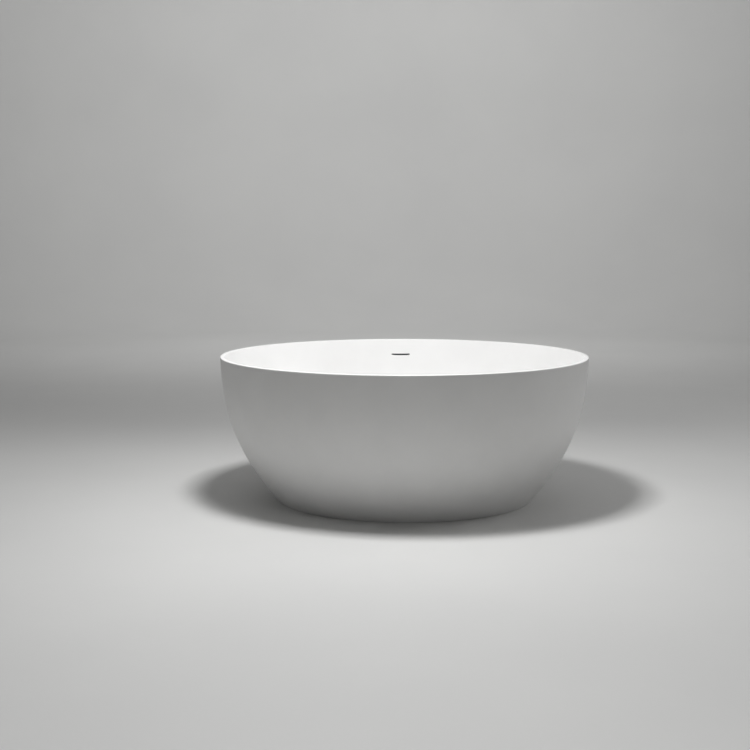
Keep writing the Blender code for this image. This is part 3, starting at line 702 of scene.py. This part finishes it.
def make_feet():
    meshes = {
        "foot_stud": (stud_mesh(), "steel", "foot_stud_body_{}"),
        "foot_insert": (insert_mesh(), "brass", "tub"),
        "foot_locknut": (locknut_mesh(), "steel", "tub"),
        "foot_pad": (pad_mesh(), "rubber", "foot_pad_body_{}"),
    }
    for number in FEET:
        for name, (mesh, finish, body) in meshes.items():
            dress(f"levelling_{name}_{number}", mesh, finish, body.format(number), f"{name}_{number}",
                  matrix=foot_matrix(number), sharp=30)


# The hose from the overflow chamber to the waste body.
HOSE_RADIUS = 0.0085
HOSE_BORE = 0.0074
HOSE_PITCH = 0.0042
HOSE_FOLD = 0.0011
HOSE_BORE_FOLD = 0.6  # the bore's share of a fold's depth
HOSE_FOLD_STEPS = 6
HOSE_SIDES = 20
SPIGOT_DISTANCE = 0.711
HOSE_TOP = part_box("overflow_hose")[1].z
INLET_HEIGHT = 0.08
INLET_END = 0.056
HOSE_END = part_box("overflow_hose")[0].y
CUFF = 0.014


def smooth_route(points, steps):
    """Points along a smooth curve through a route (Catmull-Rom)."""
    route = [2 * points[0] - points[1]] + points + [2 * points[-1] - points[-2]]
    path = []
    for before, here, after, beyond in zip(route, route[1:], route[2:], route[3:]):
        for i in range(steps):
            t = i / steps
            path.append(0.5 * (2 * here + (after - before) * t
                               + (2 * before - 5 * here + 4 * after - beyond) * t ** 2
                               + (3 * here - before - 3 * after + beyond) * t ** 3))
    return path + [points[-1]]


def make_hose():
    """A corrugated hose with smooth cuffs."""
    def between_skins(height):
        return (radius_at(BOWL_OUTER, height) + radius_at(SHELL_INNER, height)) / 2, height

    route = [
        (SPIGOT_DISTANCE, HOSE_TOP), (SPIGOT_DISTANCE, HOSE_TOP - 0.008), (SPIGOT_DISTANCE, HOSE_TOP - 0.016),
        (SPIGOT_DISTANCE - 0.0015, HOSE_TOP - 0.033), between_skins(0.37), between_skins(0.32),
        between_skins(0.26), between_skins(0.2), (0.55, 0.135), (0.48, 0.098), (0.38, 0.083),
        (0.24, INLET_HEIGHT), (0.12, INLET_HEIGHT), (INLET_END, INLET_HEIGHT), (HOSE_END, INLET_HEIGHT),
    ]
    coarse = smooth_route([Vector((0.0, distance, height)) for distance, height in route], 24)
    runs = np.concatenate([[0.0], np.cumsum([(b - a).length for a, b in zip(coarse, coarse[1:])])])
    length = runs[-1]
    stations = np.linspace(0.0, length, int(length / HOSE_PITCH * HOSE_FOLD_STEPS) + 1)
    ys = np.interp(stations, runs, [p.y for p in coarse])
    zs = np.interp(stations, runs, [p.z for p in coarse])
    verts, loops = [], []
    for full_radius, share in ((HOSE_RADIUS, 1.0), (HOSE_BORE, HOSE_BORE_FOLD)):
        for i, station in enumerate(stations):
            ends = min(station, length - station)
            fold = HOSE_FOLD * (0.5 - 0.5 * cos(tau * station / HOSE_PITCH)) if ends > CUFF else 0.0
            radius = full_radius - share * fold
            low, high = max(i - 1, 0), min(i + 1, len(stations) - 1)
            ahead = Vector((0.0, ys[high] - ys[low], zs[high] - zs[low])).normalized()
            across = ahead.cross(Vector((1, 0, 0)))
            centre = Vector((0.0, ys[i], zs[i]))
            loops.append(list(range(len(verts), len(verts) + HOSE_SIDES)))
            verts += ring_points(centre, Vector((1, 0, 0)), across, radius, HOSE_SIDES)
    count = len(stations)
    strips = list(zip(loops[:count], loops[1:count])) + list(zip(loops[count:], loops[count + 1:]))
    strips += [(loops[0], loops[count]), (loops[count - 1], loops[-1])]
    faces = [(one[k], one[k - 1], other[k - 1], other[k]) for one, other in strips for k in range(HOSE_SIDES)]
    dress("corrugated_hose", (verts, faces), "grey_plastic", "tub", "overflow_hose", sharp=60)


# The waste body under the bowl, and its seals.
BODY_DISC_RADIUS = 0.037
BODY_DISC_UNDER = 0.0955
BODY_RADIUS = 0.0315
BODY_BORE = 0.0285
BODY_FLOOR = 0.068
BODY_CONE_TOP = 0.0745
DIP_RADIUS = 0.0205
DIP_BORE = 0.018
SPIGOT_RADIUS = 0.0067
SPIGOT_BORE = 0.0052
BARB_COUNT = 3
BARB_PITCH = 0.0035
BARB_DEPTH = 0.0007


def barbed_tube(start, end, tip):
    """A barbed hose spigot. Its open end points up its axis for a tip of 1, and down it for -1."""
    wall = []
    for i in range(BARB_COUNT):
        narrow = end - tip * (0.0006 + BARB_PITCH * i)
        wall += [(SPIGOT_RADIUS - BARB_DEPTH, narrow), (SPIGOT_RADIUS, narrow - tip * BARB_PITCH * 0.75)]
    wall += [(SPIGOT_RADIUS - BARB_DEPTH, wall[-1][1] - tip * 0.0003), (SPIGOT_RADIUS - 0.0004, start)]
    outline = [(SPIGOT_BORE, end), (SPIGOT_RADIUS - 0.0008, end)] + wall + [(SPIGOT_BORE, start)]
    return turned(outline, TINY_SIDES)


def make_waste_body():
    """The housing screwed up under the bowl, with the hose's spigot and the dip tube."""
    low, high = span("waste_body")
    neck = WASTE_TUBE + SEAT_GAP
    outline = rounded([
        (DIP_BORE, low, 0.0006), (DIP_RADIUS, low, 0.0006), (DIP_RADIUS, BODY_FLOOR, 0.002),
        (BODY_RADIUS, BODY_CONE_TOP - 0.003, 0.003), (BODY_RADIUS, BODY_DISC_UNDER, 0.001),
        (BODY_DISC_RADIUS, BODY_DISC_UNDER, 0.001), (BODY_DISC_RADIUS, high, 0.0006),
        (neck, high, 0.0003), (neck, BODY_DISC_UNDER), (BODY_BORE, BODY_DISC_UNDER - 0.002),
        (BODY_BORE, BODY_CONE_TOP, 0.002), (DIP_BORE, BODY_FLOOR + 0.002, 0.001),
    ], 4)
    grip = ribbed(24, 0.0009, 0.985 * BODY_DISC_RADIUS)
    spigot = moved(barbed_tube(BODY_RADIUS - 0.001, INLET_END, 1), laid("Y", INLET_HEIGHT))
    housing = merged([turned(outline, FINE_SIDES, grip), spigot])
    dress("waste_housing", housing, "white_plastic", "tub", "waste_body", sharp=40)


def make_waste_seals():
    ring = soft_ring(WASTE_FLANGE_RADIUS - 0.0006, WASTE_HOLE + 0.0006, *span("waste_top_seal"), 0.0006)
    dress("waste_top_ring", ring, "silicone", "tub", "waste_top_seal")
    ring = soft_ring(WASTE_FLANGE_RADIUS, WASTE_TUBE + 0.0009, *span("waste_bottom_seal"), 0.0009)
    dress("waste_bottom_ring", ring, "rubber", "tub", "waste_bottom_seal")


# What is under the plug: its seal, stem and spring, and the click mechanism's sleeve.
SEAL_LIP = 0.0007
BARREL_RADIUS = 0.005
BARREL_BORE = 0.0038
STEM_RADIUS = 0.0033
STEM_PITCH = 0.0007
STEM_THREAD_LENGTH = 0.012
STEM_THREAD_DEPTH = 0.0003
STEM_THREAD_STEPS = 6
SPRING_RADIUS = 0.0068
SPRING_WIRE = 0.0006
SPRING_TURNS = 5
SPRING_TURN_STEPS = 48
WIRE_SIDES = 10


def make_plug_seal():
    """A ring with two lips."""
    low, high = span("plug_seal")
    middle = (low + high) / 2
    outer = THROAT - 0.0004
    inner = HUB_RADIUS + SEAT_GAP
    outline = rounded([
        (inner, low, 0.0004), (outer, low, 0.0003), (outer, low + SEAL_LIP, 0.0002),
        (outer - 0.0012, middle, 0.0004), (outer, high - SEAL_LIP, 0.0002), (outer, high, 0.0003),
        (inner, high, 0.0004),
    ], 3)
    dress("plug_ring", turned(outline, FINE_SIDES), "silicone", "plug", "plug_seal")


def make_plug_stem():
    """A stem with a thread at its top."""
    low, high = span("plug_stem")
    outline = [(0.0, low), (STEM_RADIUS - 0.0006, low), (STEM_RADIUS, low + 0.0006)]
    outline += wall_points(STEM_RADIUS, low + 0.006, high - 0.0005, STEM_PITCH / STEM_THREAD_STEPS)
    outline += [(STEM_RADIUS - 0.0004, high), (0.0, high)]
    screw = thread(high - STEM_THREAD_LENGTH, high, STEM_PITCH, STEM_THREAD_DEPTH)
    dress("plug_spindle", turned(outline, TINY_SIDES, screw), "brass", "plug", "plug_stem")


def make_click_barrel():
    """A closed sleeve with a groove round it, in which the stem slides."""
    low, high = span("click_barrel")
    outline = rounded([
        (0.0, low), (BARREL_RADIUS, low, 0.0008), (BARREL_RADIUS, low + 0.006, 0.0003),
        (BARREL_RADIUS - 0.0004, low + 0.0065, 0.0002), (BARREL_RADIUS - 0.0004, low + 0.008, 0.0002),
        (BARREL_RADIUS, low + 0.0085, 0.0003), (BARREL_RADIUS, high, 0.0005), (BARREL_BORE, high, 0.0003),
        (BARREL_BORE, low + 0.002), (0.0, low + 0.002),
    ], 3)
    dress("click_sleeve", turned(outline, SMALL_SIDES), "brass", "tub", "click_barrel")


def make_spring():
    """A coil of round wire that stretches between the crossbar's boss and the plug's hub."""
    bottom, top = span("plug_spring")
    low, high = bottom + SPRING_WIRE, top - SPRING_WIRE
    steps = SPRING_TURN_STEPS * SPRING_TURNS
    verts = []
    for i in range(steps + 1):
        angle = tau * SPRING_TURNS * i / steps
        outward = Vector((cos(angle), sin(angle), 0))
        centre = outward * SPRING_RADIUS + Vector((0, 0, low + (high - low) * i / steps))
        verts += ring_points(centre, outward, Vector((0, 0, 1)), SPRING_WIRE, WIRE_SIDES)
    data = new_mesh("plug_coil", verts, tube_faces(WIRE_SIDES, steps))
    clean_mesh(data, 60)
    data.materials.append(FINISHES["steel"])
    coil = new_object("plug_coil", data)
    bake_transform(coil)
    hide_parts("plug_spring")


# The low drum trap. The waste body's dip tube stands in it.
TRAP_RADIUS = 0.05
TRAP_WALL = 0.003
DIP_HOLE = 0.0211
NECK_RADIUS = 0.0262
NECK_BORE = 0.0242
NUT_RADIUS = 0.032
OUTLET_HEIGHT = 0.037
OUTLET_RADIUS = 0.0182
OUTLET_BORE = 0.0162
OUTLET_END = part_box("trap_body")[1].x
OUTLET_NUT_RADIUS = 0.022
ACROSS = laid("X", OUTLET_HEIGHT)
TUBE_CORE = 0.012  # the outlet tube's radius before it is bored out
TUBE_SINK = 0.001  # how far the tube runs into the drum's wall
LID_DISC = 0.0027
INLET_LIP = 0.0031
OUTLET_LIP = 0.002


def make_trap_cup():
    """The drum with a screwed rim, a round recess under it and its outlet tube."""
    bottom, top = span("trap_body")
    inner = TRAP_RADIUS - TRAP_WALL
    outline = [(0.0, bottom)] + rounded([
        (0.018, bottom, 0.0008), (0.02, bottom + 0.0012, 0.0008), (0.026, bottom + 0.0012, 0.0008),
        (0.028, bottom, 0.0008), (TRAP_RADIUS, bottom, 0.004), (TRAP_RADIUS, top - 0.006, 0.0004),
        (TRAP_RADIUS - 0.0008, top - 0.0055, 0.0003), (TRAP_RADIUS - 0.0008, top - 0.0042, 0.0003),
        (TRAP_RADIUS, top - 0.0037, 0.0004), (TRAP_RADIUS, top, 0.0005), (inner, top, 0.0005),
        (inner, bottom + TRAP_WALL, 0.003),
    ], 4) + [(0.0, bottom + TRAP_WALL)]
    cup = turned(outline, FINE_SIDES)
    start = inner - TUBE_SINK
    tube = turned(rounded([
        (TUBE_CORE, start), (OUTLET_RADIUS, start), (OUTLET_RADIUS, OUTLET_END, 0.0008),
        (TUBE_CORE, OUTLET_END),
    ], 4))
    body = combined(cup, moved(tube, ACROSS), "UNION")
    bore = rod(OUTLET_BORE, TRAP_RADIUS - 4 * TRAP_WALL, OUTLET_END + OVERRUN, SIDES)
    body = combined(body, moved(bore, ACROSS), "DIFFERENCE")
    dress("trap_cup", body, "white_plastic", "trap", "trap_body")


def make_trap_lid():
    """The ribbed lid, whose neck holds a seal round the dip tube."""
    low, high = span("trap_lid")
    disc = low + LID_DISC
    outline = rounded([
        (DIP_HOLE, low), (TRAP_RADIUS, low, 0.0004), (TRAP_RADIUS, disc, 0.0006), (NECK_RADIUS, disc, 0.0004),
        (NECK_RADIUS, high, 0.0004), (NECK_BORE, high, 0.0003), (NECK_BORE, disc + SEAT_GAP),
        (DIP_HOLE, disc + SEAT_GAP),
    ], 4)
    lid = turned(outline, RIBBED_SIDES, ribbed(36, 0.0008, 0.99 * TRAP_RADIUS))
    dress("trap_cover", lid, "white_plastic", "trap", "trap_lid")
    ring = soft_ring(NECK_BORE - SEAT_GAP, DIP_HOLE, *span("trap_inlet_seal"), 0.0008)
    dress("trap_inlet_ring", ring, "rubber", "trap", "trap_inlet_seal")


def nut_mesh(radius, corner_cut, edges, bore, mouth, mouth_ease, heights):
    """A plastic nut whose bore ends at a lip. edges say how far its two ends lie inside its radius."""
    low, lip, high = heights
    flats = hexagon(2 * radius - corner_cut, low, high, PLASTIC_SLOPE)
    outline = [(bore + SEAT_GAP, low), (radius - edges[0], low)]
    outline += wall_points(radius, low, high, FLAT_STEP)
    outline += [(radius - edges[1], high), (mouth + mouth_ease, high), (mouth, high - 0.0008), (mouth, lip)]
    return turned(outline + [(bore + SEAT_GAP, lip)], FINE_SIDES, flats)


def make_trap_nuts():
    """The nut on the lid's neck, and the outlet's seal and nut, which would hold a waste pipe."""
    low, high = span("trap_inlet_nut")
    nut = nut_mesh(NUT_RADIUS, 0.004, (0.002, 0.003), NECK_RADIUS, DIP_HOLE, 0.001,
                   (low, low + INLET_LIP, high))
    dress("trap_inlet_collar", nut, "grey_plastic", "trap", "trap_inlet_nut")

    mouth = OUTLET_BORE + 0.0005
    ring = soft_ring(OUTLET_RADIUS, mouth, *span("trap_outlet_seal", "x"), 0.0006)
    dress("trap_outlet_ring", ring, "rubber", "trap", "trap_outlet_seal", matrix=ACROSS)
    low, high = span("trap_outlet_nut", "x")
    nut = nut_mesh(OUTLET_NUT_RADIUS, 0.003, (0.0022, 0.0022), OUTLET_RADIUS, mouth, 0.0008,
                   (low, high - OUTLET_LIP, high))
    dress("trap_outlet_collar", nut, "grey_plastic", "trap", "trap_outlet_nut", matrix=ACROSS)


# The overflow chamber behind the slot, with the gasket between it and the bowl.
WALL_LEVELS = 9  # points up a wall that follows the castings
SECTOR_STEPS = 24
CHAMBER_BOTTOM = 0.44
CHAMBER_TOP = 0.524
CHAMBER_HALF_ANGLE = radians(4.4)
CHAMBER_WALL = 0.002
CHAMBER_BACK_GAP = 0.003
GASKET = 0.0015
GASKET_EASE = 0.0004
GASKET_HALF_TALL = 0.01
GASKET_HALF_ANGLE = radians(4.0)
SPIGOT_LENGTH = 0.016
FRONT_GAP = GASKET + 0.0006
FLANGE_HALF = 0.0008
FLANGE_PROUD = 0.0018
RIB_PAIRS = 3  # of ribs beside the middle one
RIB_STEP = radians(1.1)
RIB_HALF_ANGLE = radians(0.07)
RIB_END = 0.008
RIB_PROUD = 0.0013
RIB_ROOT = 0.0008
RIB_EASE = 0.0003


def chamber_walls(inset):
    """The chamber's front and back in (r, z), which follow the castings, moved in by an inset all round."""
    heights = np.linspace(CHAMBER_BOTTOM + inset, CHAMBER_TOP - inset, WALL_LEVELS)
    front = [(radius_at(BOWL_OUTER, z) + (FRONT_GAP + inset), z) for z in heights]
    back = [(radius_at(SHELL_INNER, z) - (CHAMBER_BACK_GAP + inset), z) for z in heights]
    return front, back


def ends_eased(wall, ease):
    """A wall's points as corners, where the first and the last one are rounded."""
    return [(*wall[0], ease)] + wall[1:-1] + [(*wall[-1], ease)]


def chamber_outline(inset, ease):
    front, back = chamber_walls(inset)
    return rounded(ends_eased(back, ease) + ends_eased(front, ease)[::-1], 4)


def weld_flange():
    """The proud edge all round the chamber where its two halves are welded."""
    front, back = chamber_walls(-FLANGE_PROUD)
    middle = [((near + far) / 2, z) for (near, z), (far, _) in zip(front, back)]
    outline = [(r + FLANGE_HALF, z) for r, z in middle] + [(r - FLANGE_HALF, z) for r, z in middle[::-1]]
    return sector(outline, CHAMBER_HALF_ANGLE + FLANGE_PROUD / RIM_RADIUS, SECTOR_STEPS)


def rib_outline():
    """A moulded rib that stands on the chamber's back, in (r, z)."""
    heights = np.linspace(CHAMBER_BOTTOM + RIB_END, CHAMBER_TOP - RIB_END, WALL_LEVELS)
    back = [(radius_at(SHELL_INNER, z) - CHAMBER_BACK_GAP, z) for z in heights]
    crest = ends_eased([(r + RIB_PROUD, z) for r, z in back], RIB_EASE)
    (low_r, low), (high_r, high) = back[0], back[-1]
    return rounded(crest + [(high_r - RIB_ROOT, high + RIB_PROUD), (low_r - RIB_ROOT, low - RIB_PROUD)], 3)


def make_chamber():
    """A ribbed hollow box between bowl and shell, with a mouth at the slot and a spigot at its foot."""
    wall = CHAMBER_WALL
    box = sector(chamber_outline(0.0, 0.0012), CHAMBER_HALF_ANGLE, SECTOR_STEPS)
    chamber = combined(box, weld_flange(), "UNION")
    for number in range(-RIB_PAIRS, RIB_PAIRS + 1):
        rib = moved(sector(rib_outline(), RIB_HALF_ANGLE, 2), Matrix.Rotation(number * RIB_STEP, 4, "Z"))
        chamber = combined(chamber, rib, "UNION")
    hollow = sector(chamber_outline(wall, 0.0008), CHAMBER_HALF_ANGLE - wall / RIM_RADIUS, SECTOR_STEPS)
    chamber = combined(chamber, hollow, "DIFFERENCE")
    skin = radius_at(BOWL_OUTER, SLOT_HEIGHT)
    mouth = slot_prism(SLOT_LENGTH, SLOT_TALL + 0.001, skin - SKIN, skin + FRONT_GAP + 2 * wall)
    chamber = combined(chamber, mouth, "DIFFERENCE")
    place = Matrix.Translation((0.0, SPIGOT_DISTANCE, 0.0))
    bore = rod(SPIGOT_BORE, CHAMBER_BOTTOM - wall, CHAMBER_BOTTOM + 2 * wall, TINY_SIDES)
    chamber = combined(chamber, moved(bore, place), "DIFFERENCE")
    spigot = moved(barbed_tube(CHAMBER_BOTTOM + wall / 2, CHAMBER_BOTTOM - SPIGOT_LENGTH, -1), place)
    # The chamber's dark plastic is partly painted shade, so that the overflow slot looks dark inside.
    dress("overflow_chamber", merged([chamber, spigot]), "grey_plastic", "tub", "overflow_box")


def make_gasket():
    """A flat ring round the slot, bent to the bowl."""
    low, high = SLOT_HEIGHT - GASKET_HALF_TALL, SLOT_HEIGHT + GASKET_HALF_TALL
    near_low, near_high = radius_at(BOWL_OUTER, low) + SEAT_GAP, radius_at(BOWL_OUTER, high) + SEAT_GAP
    pad = sector(rounded([
        (near_low + GASKET, low, GASKET_EASE), (near_high + GASKET, high, GASKET_EASE),
        (near_high, high, GASKET_EASE), (near_low, low, GASKET_EASE),
    ], 3), GASKET_HALF_ANGLE, SECTOR_STEPS)
    skin = radius_at(BOWL_OUTER, SLOT_HEIGHT)
    hole = slot_prism(SLOT_LENGTH + 0.002, SLOT_TALL + 0.002, skin - SKIN, skin + SKIN)
    dress("overflow_pad", combined(pad, hole, "DIFFERENCE"), "rubber", "tub", "overflow_gasket")


# The hose's clips.
CLIP_BORE = 0.0089
CLIP_RADIUS = 0.0102
CLIP_LENGTH = 0.008
SCREW_SIDES = 24


def clip_mesh(start):
    """A clip band with rolled edges and a screw housing on its side."""
    end = start + CLIP_LENGTH
    band = turned(rounded([
        (CLIP_BORE, start, 0.0003), (CLIP_RADIUS, start, 0.0004), (CLIP_RADIUS, start + 0.001, 0.0002),
        (CLIP_RADIUS - 0.0005, start + 0.0013, 0.0002), (CLIP_RADIUS - 0.0005, end - 0.0013, 0.0002),
        (CLIP_RADIUS, end - 0.001, 0.0002), (CLIP_RADIUS, end, 0.0004), (CLIP_BORE, end, 0.0003),
    ], 3), SMALL_SIDES)
    middle = (start + end) / 2
    housing = block((0.0042, 0.01, CLIP_LENGTH - 0.0014), (CLIP_RADIUS + 0.0014, 0.0, middle), 0.0006)
    screw = turned(rounded([
        (0.0, -0.009), (0.0017, -0.009, 0.0002), (0.0017, 0.0058), (0.0024, 0.0058),
        (0.0024, 0.008, 0.0004), (0.0, 0.008),
    ], 3), SCREW_SIDES)
    place = Matrix.Translation((CLIP_RADIUS + 0.0016, 0.0, middle))
    return merged([band, housing, moved(screw, place @ laid("Y", 0.0))])


def make_clips():
    clips = {
        "top": (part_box("hose_clip_top")[0].z, Matrix.Translation((0.0, SPIGOT_DISTANCE, 0.0))),
        "bottom": (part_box("hose_clip_bottom")[0].y, laid("Y", INLET_HEIGHT)),
    }
    for end, (start, place) in clips.items():
        dress(f"hose_band_{end}", clip_mesh(start), "steel", "tub", f"hose_clip_{end}", matrix=place)


# The plywood ring that the feet are set in, and the blocks on it that hold the bowl up.
FRAME_INNER = 0.4
FRAME_OUTER = 0.517
BLOCK_CIRCLE = 0.44
BLOCK_ANGLE = radians(15)
BLOCK_DEPTH = 0.044
BLOCK_WIDTH = 0.064
BLOCK_BED = 0.002
BLOCK_EDGE = 0.0012


def make_frame():
    low, high = span("base_frame")
    board = soft_ring(FRAME_OUTER, FRAME_INNER, low, high, 0.001, TUB_SIDES)
    hole = rod(INSERT_RADIUS + 0.0006, low - OVERRUN, high + OVERRUN, SMALL_SIDES)
    for number in FEET:
        board = combined(board, moved(hole, foot_matrix(number)), "DIFFERENCE")
    dress("plywood_ring", board, "ply", "tub", "base_frame")


def under_bowl(radius):
    """The height of the bowl's underside at a radius."""
    ordered = sorted(BOWL_OUTER)
    return float(np.interp(radius, [r for r, _ in ordered], [z for _, z in ordered]))


def make_blocks():
    """Blocks whose tops slope with the bowl."""
    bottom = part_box("base_frame")[1].z + SEAT_GAP
    for number in FEET:
        mesh = bmesh.new()
        for side in (-1, 1):
            for end in (-1, 1):
                x = BLOCK_CIRCLE + end * BLOCK_DEPTH / 2
                y = side * BLOCK_WIDTH / 2
                mesh.verts.new((x, y, bottom))
                mesh.verts.new((x, y, under_bowl(hypot(x, y)) - BLOCK_BED))
        bmesh.ops.convex_hull(mesh, input=mesh.verts)
        corners = [edge for edge in mesh.edges if edge.calc_face_angle() > radians(30)]
        bmesh.ops.bevel(mesh, geom=corners, offset=BLOCK_EDGE, segments=2, profile=0.5, affect="EDGES")
        turn = Matrix.Rotation(BLOCK_ANGLE + tau * (number - 1) / len(FEET), 4, "Z")
        dress(f"bowl_block_{number}", plain(mesh), "ply", "tub", f"support_block_{number}", matrix=turn)


# ---- stage, light and camera

STAGE_RADIUS = 8.0
STAGE_CORE = 2.0  # radius of the floor's middle face
STAGE_SIDES = 96
COVE_RADIUS = 2.5
COVE_STEPS = 24
WALL_TOP = 7.0

# Each light: where it is, what it faces, its width and depth, and its power.
LIGHTS = {
    "key": ((-0.25, -0.7, 2.6), (-0.1, -0.3, 0.0), (0.5, 0.5), 57.5),
    "overhead": ((0.0, 0.6, 4.6), (0.0, 0.3, 0.0), (4.5, 4.5), 38.5),
    "side_left": ((-4.2, 1.0, 2.6), (0.0, 0.4, 0.2), (2.0, 2.0), 12.0),
    "side_right": ((4.2, 1.0, 2.6), (0.0, 0.4, 0.2), (2.0, 2.0), 38.0),
    "fill_left": ((-3.6, -4.6, 3.0), (0.0, 0.0, 0.3), (2.0, 2.0), 4.0),
    "fill_right": ((3.6, -4.6, 3.0), (0.0, 0.0, 0.3), (2.0, 2.0), 11.0),
    "foreground": ((0.0, -3.4, 2.4), (0.0, -5.2, 0.0), (4.0, 0.5), 40.0),
    "backdrop": ((0.0, 5.0, 5.0), (0.0, 10.0, 2.0), (5.0, 1.5), 212.0),
}
AMBIENT = 0.005

LENS = 64.2
SENSOR_WIDTH = 36.0
VIEW_SHIFT = -0.2033
CAMERA_PLACE = (-0.119, -5.49, HEIGHT + 0.542)


def make_stage():
    """A round floor that curves up into a wall all round."""
    turns = [pi / 2 * i / COVE_STEPS for i in range(COVE_STEPS + 1)]
    cove = [(STAGE_RADIUS + COVE_RADIUS * sin(turn), COVE_RADIUS * (1 - cos(turn))) for turn in turns]
    outline = [(STAGE_CORE, 0.0)] + cove + [(STAGE_RADIUS + COVE_RADIUS, WALL_TOP)]
    angles = [tau * k / STAGE_SIDES for k in range(STAGE_SIDES)]
    verts, rings = [], []
    for r, z in outline:
        rings.append(list(range(len(verts), len(verts) + STAGE_SIDES)))
        verts += [(r * cos(angle), r * sin(angle), z) for angle in angles]
    faces = [tuple(rings[0])]
    for low, high in zip(rings, rings[1:]):
        faces += [(low[k], low[k - 1], high[k - 1], high[k]) for k in range(STAGE_SIDES)]
    data = new_mesh("studio_floor", verts, faces)
    data.shade_smooth()
    data.materials.append(surface(*FLOOR_FINISH))
    item = new_object("studio_floor", data)


def make_lights():
    for name, (place, target, size, power) in LIGHTS.items():
        data = bpy.data.lights.new(name, "AREA")
        data.shape = "RECTANGLE"
        data.size, data.size_y = size
        data.energy = power
        item = new_object(name, data)
        item.location = place
        item.rotation_euler = (Vector(target) - Vector(place)).to_track_quat("-Z", "Y").to_euler()
    world = bpy.data.worlds.new("studio")
    world.use_nodes = True
    background = world.node_tree.nodes["Background"]
    background.inputs["Color"].default_value = (1.0, 1.0, 1.0, 1.0)
    background.inputs["Strength"].default_value = AMBIENT
    bpy.context.scene.world = world


def make_camera():
    """A level camera, with its view shifted down to the tub."""
    data = bpy.data.cameras.new("camera")
    data.sensor_width = SENSOR_WIDTH
    data.lens = LENS
    data.shift_y = VIEW_SHIFT
    item = new_object("camera", data)
    item.location = CAMERA_PLACE
    item.rotation_euler = (pi / 2, 0.0, 0.0)
    bpy.context.scene.camera = item


bpy.context.scene.view_settings.view_transform = "Standard"
make_outer_wall()
make_bowl()
make_plug()
make_plug_seal()
make_plug_stem()
make_click_barrel()
make_spring()
make_waste_flange()
make_waste_body()
make_waste_seals()
make_feet()
make_hose()
make_clips()
make_trap_cup()
make_trap_lid()
make_trap_nuts()
make_chamber()
make_gasket()
make_frame()
make_blocks()
make_stage()
make_lights()
make_camera()
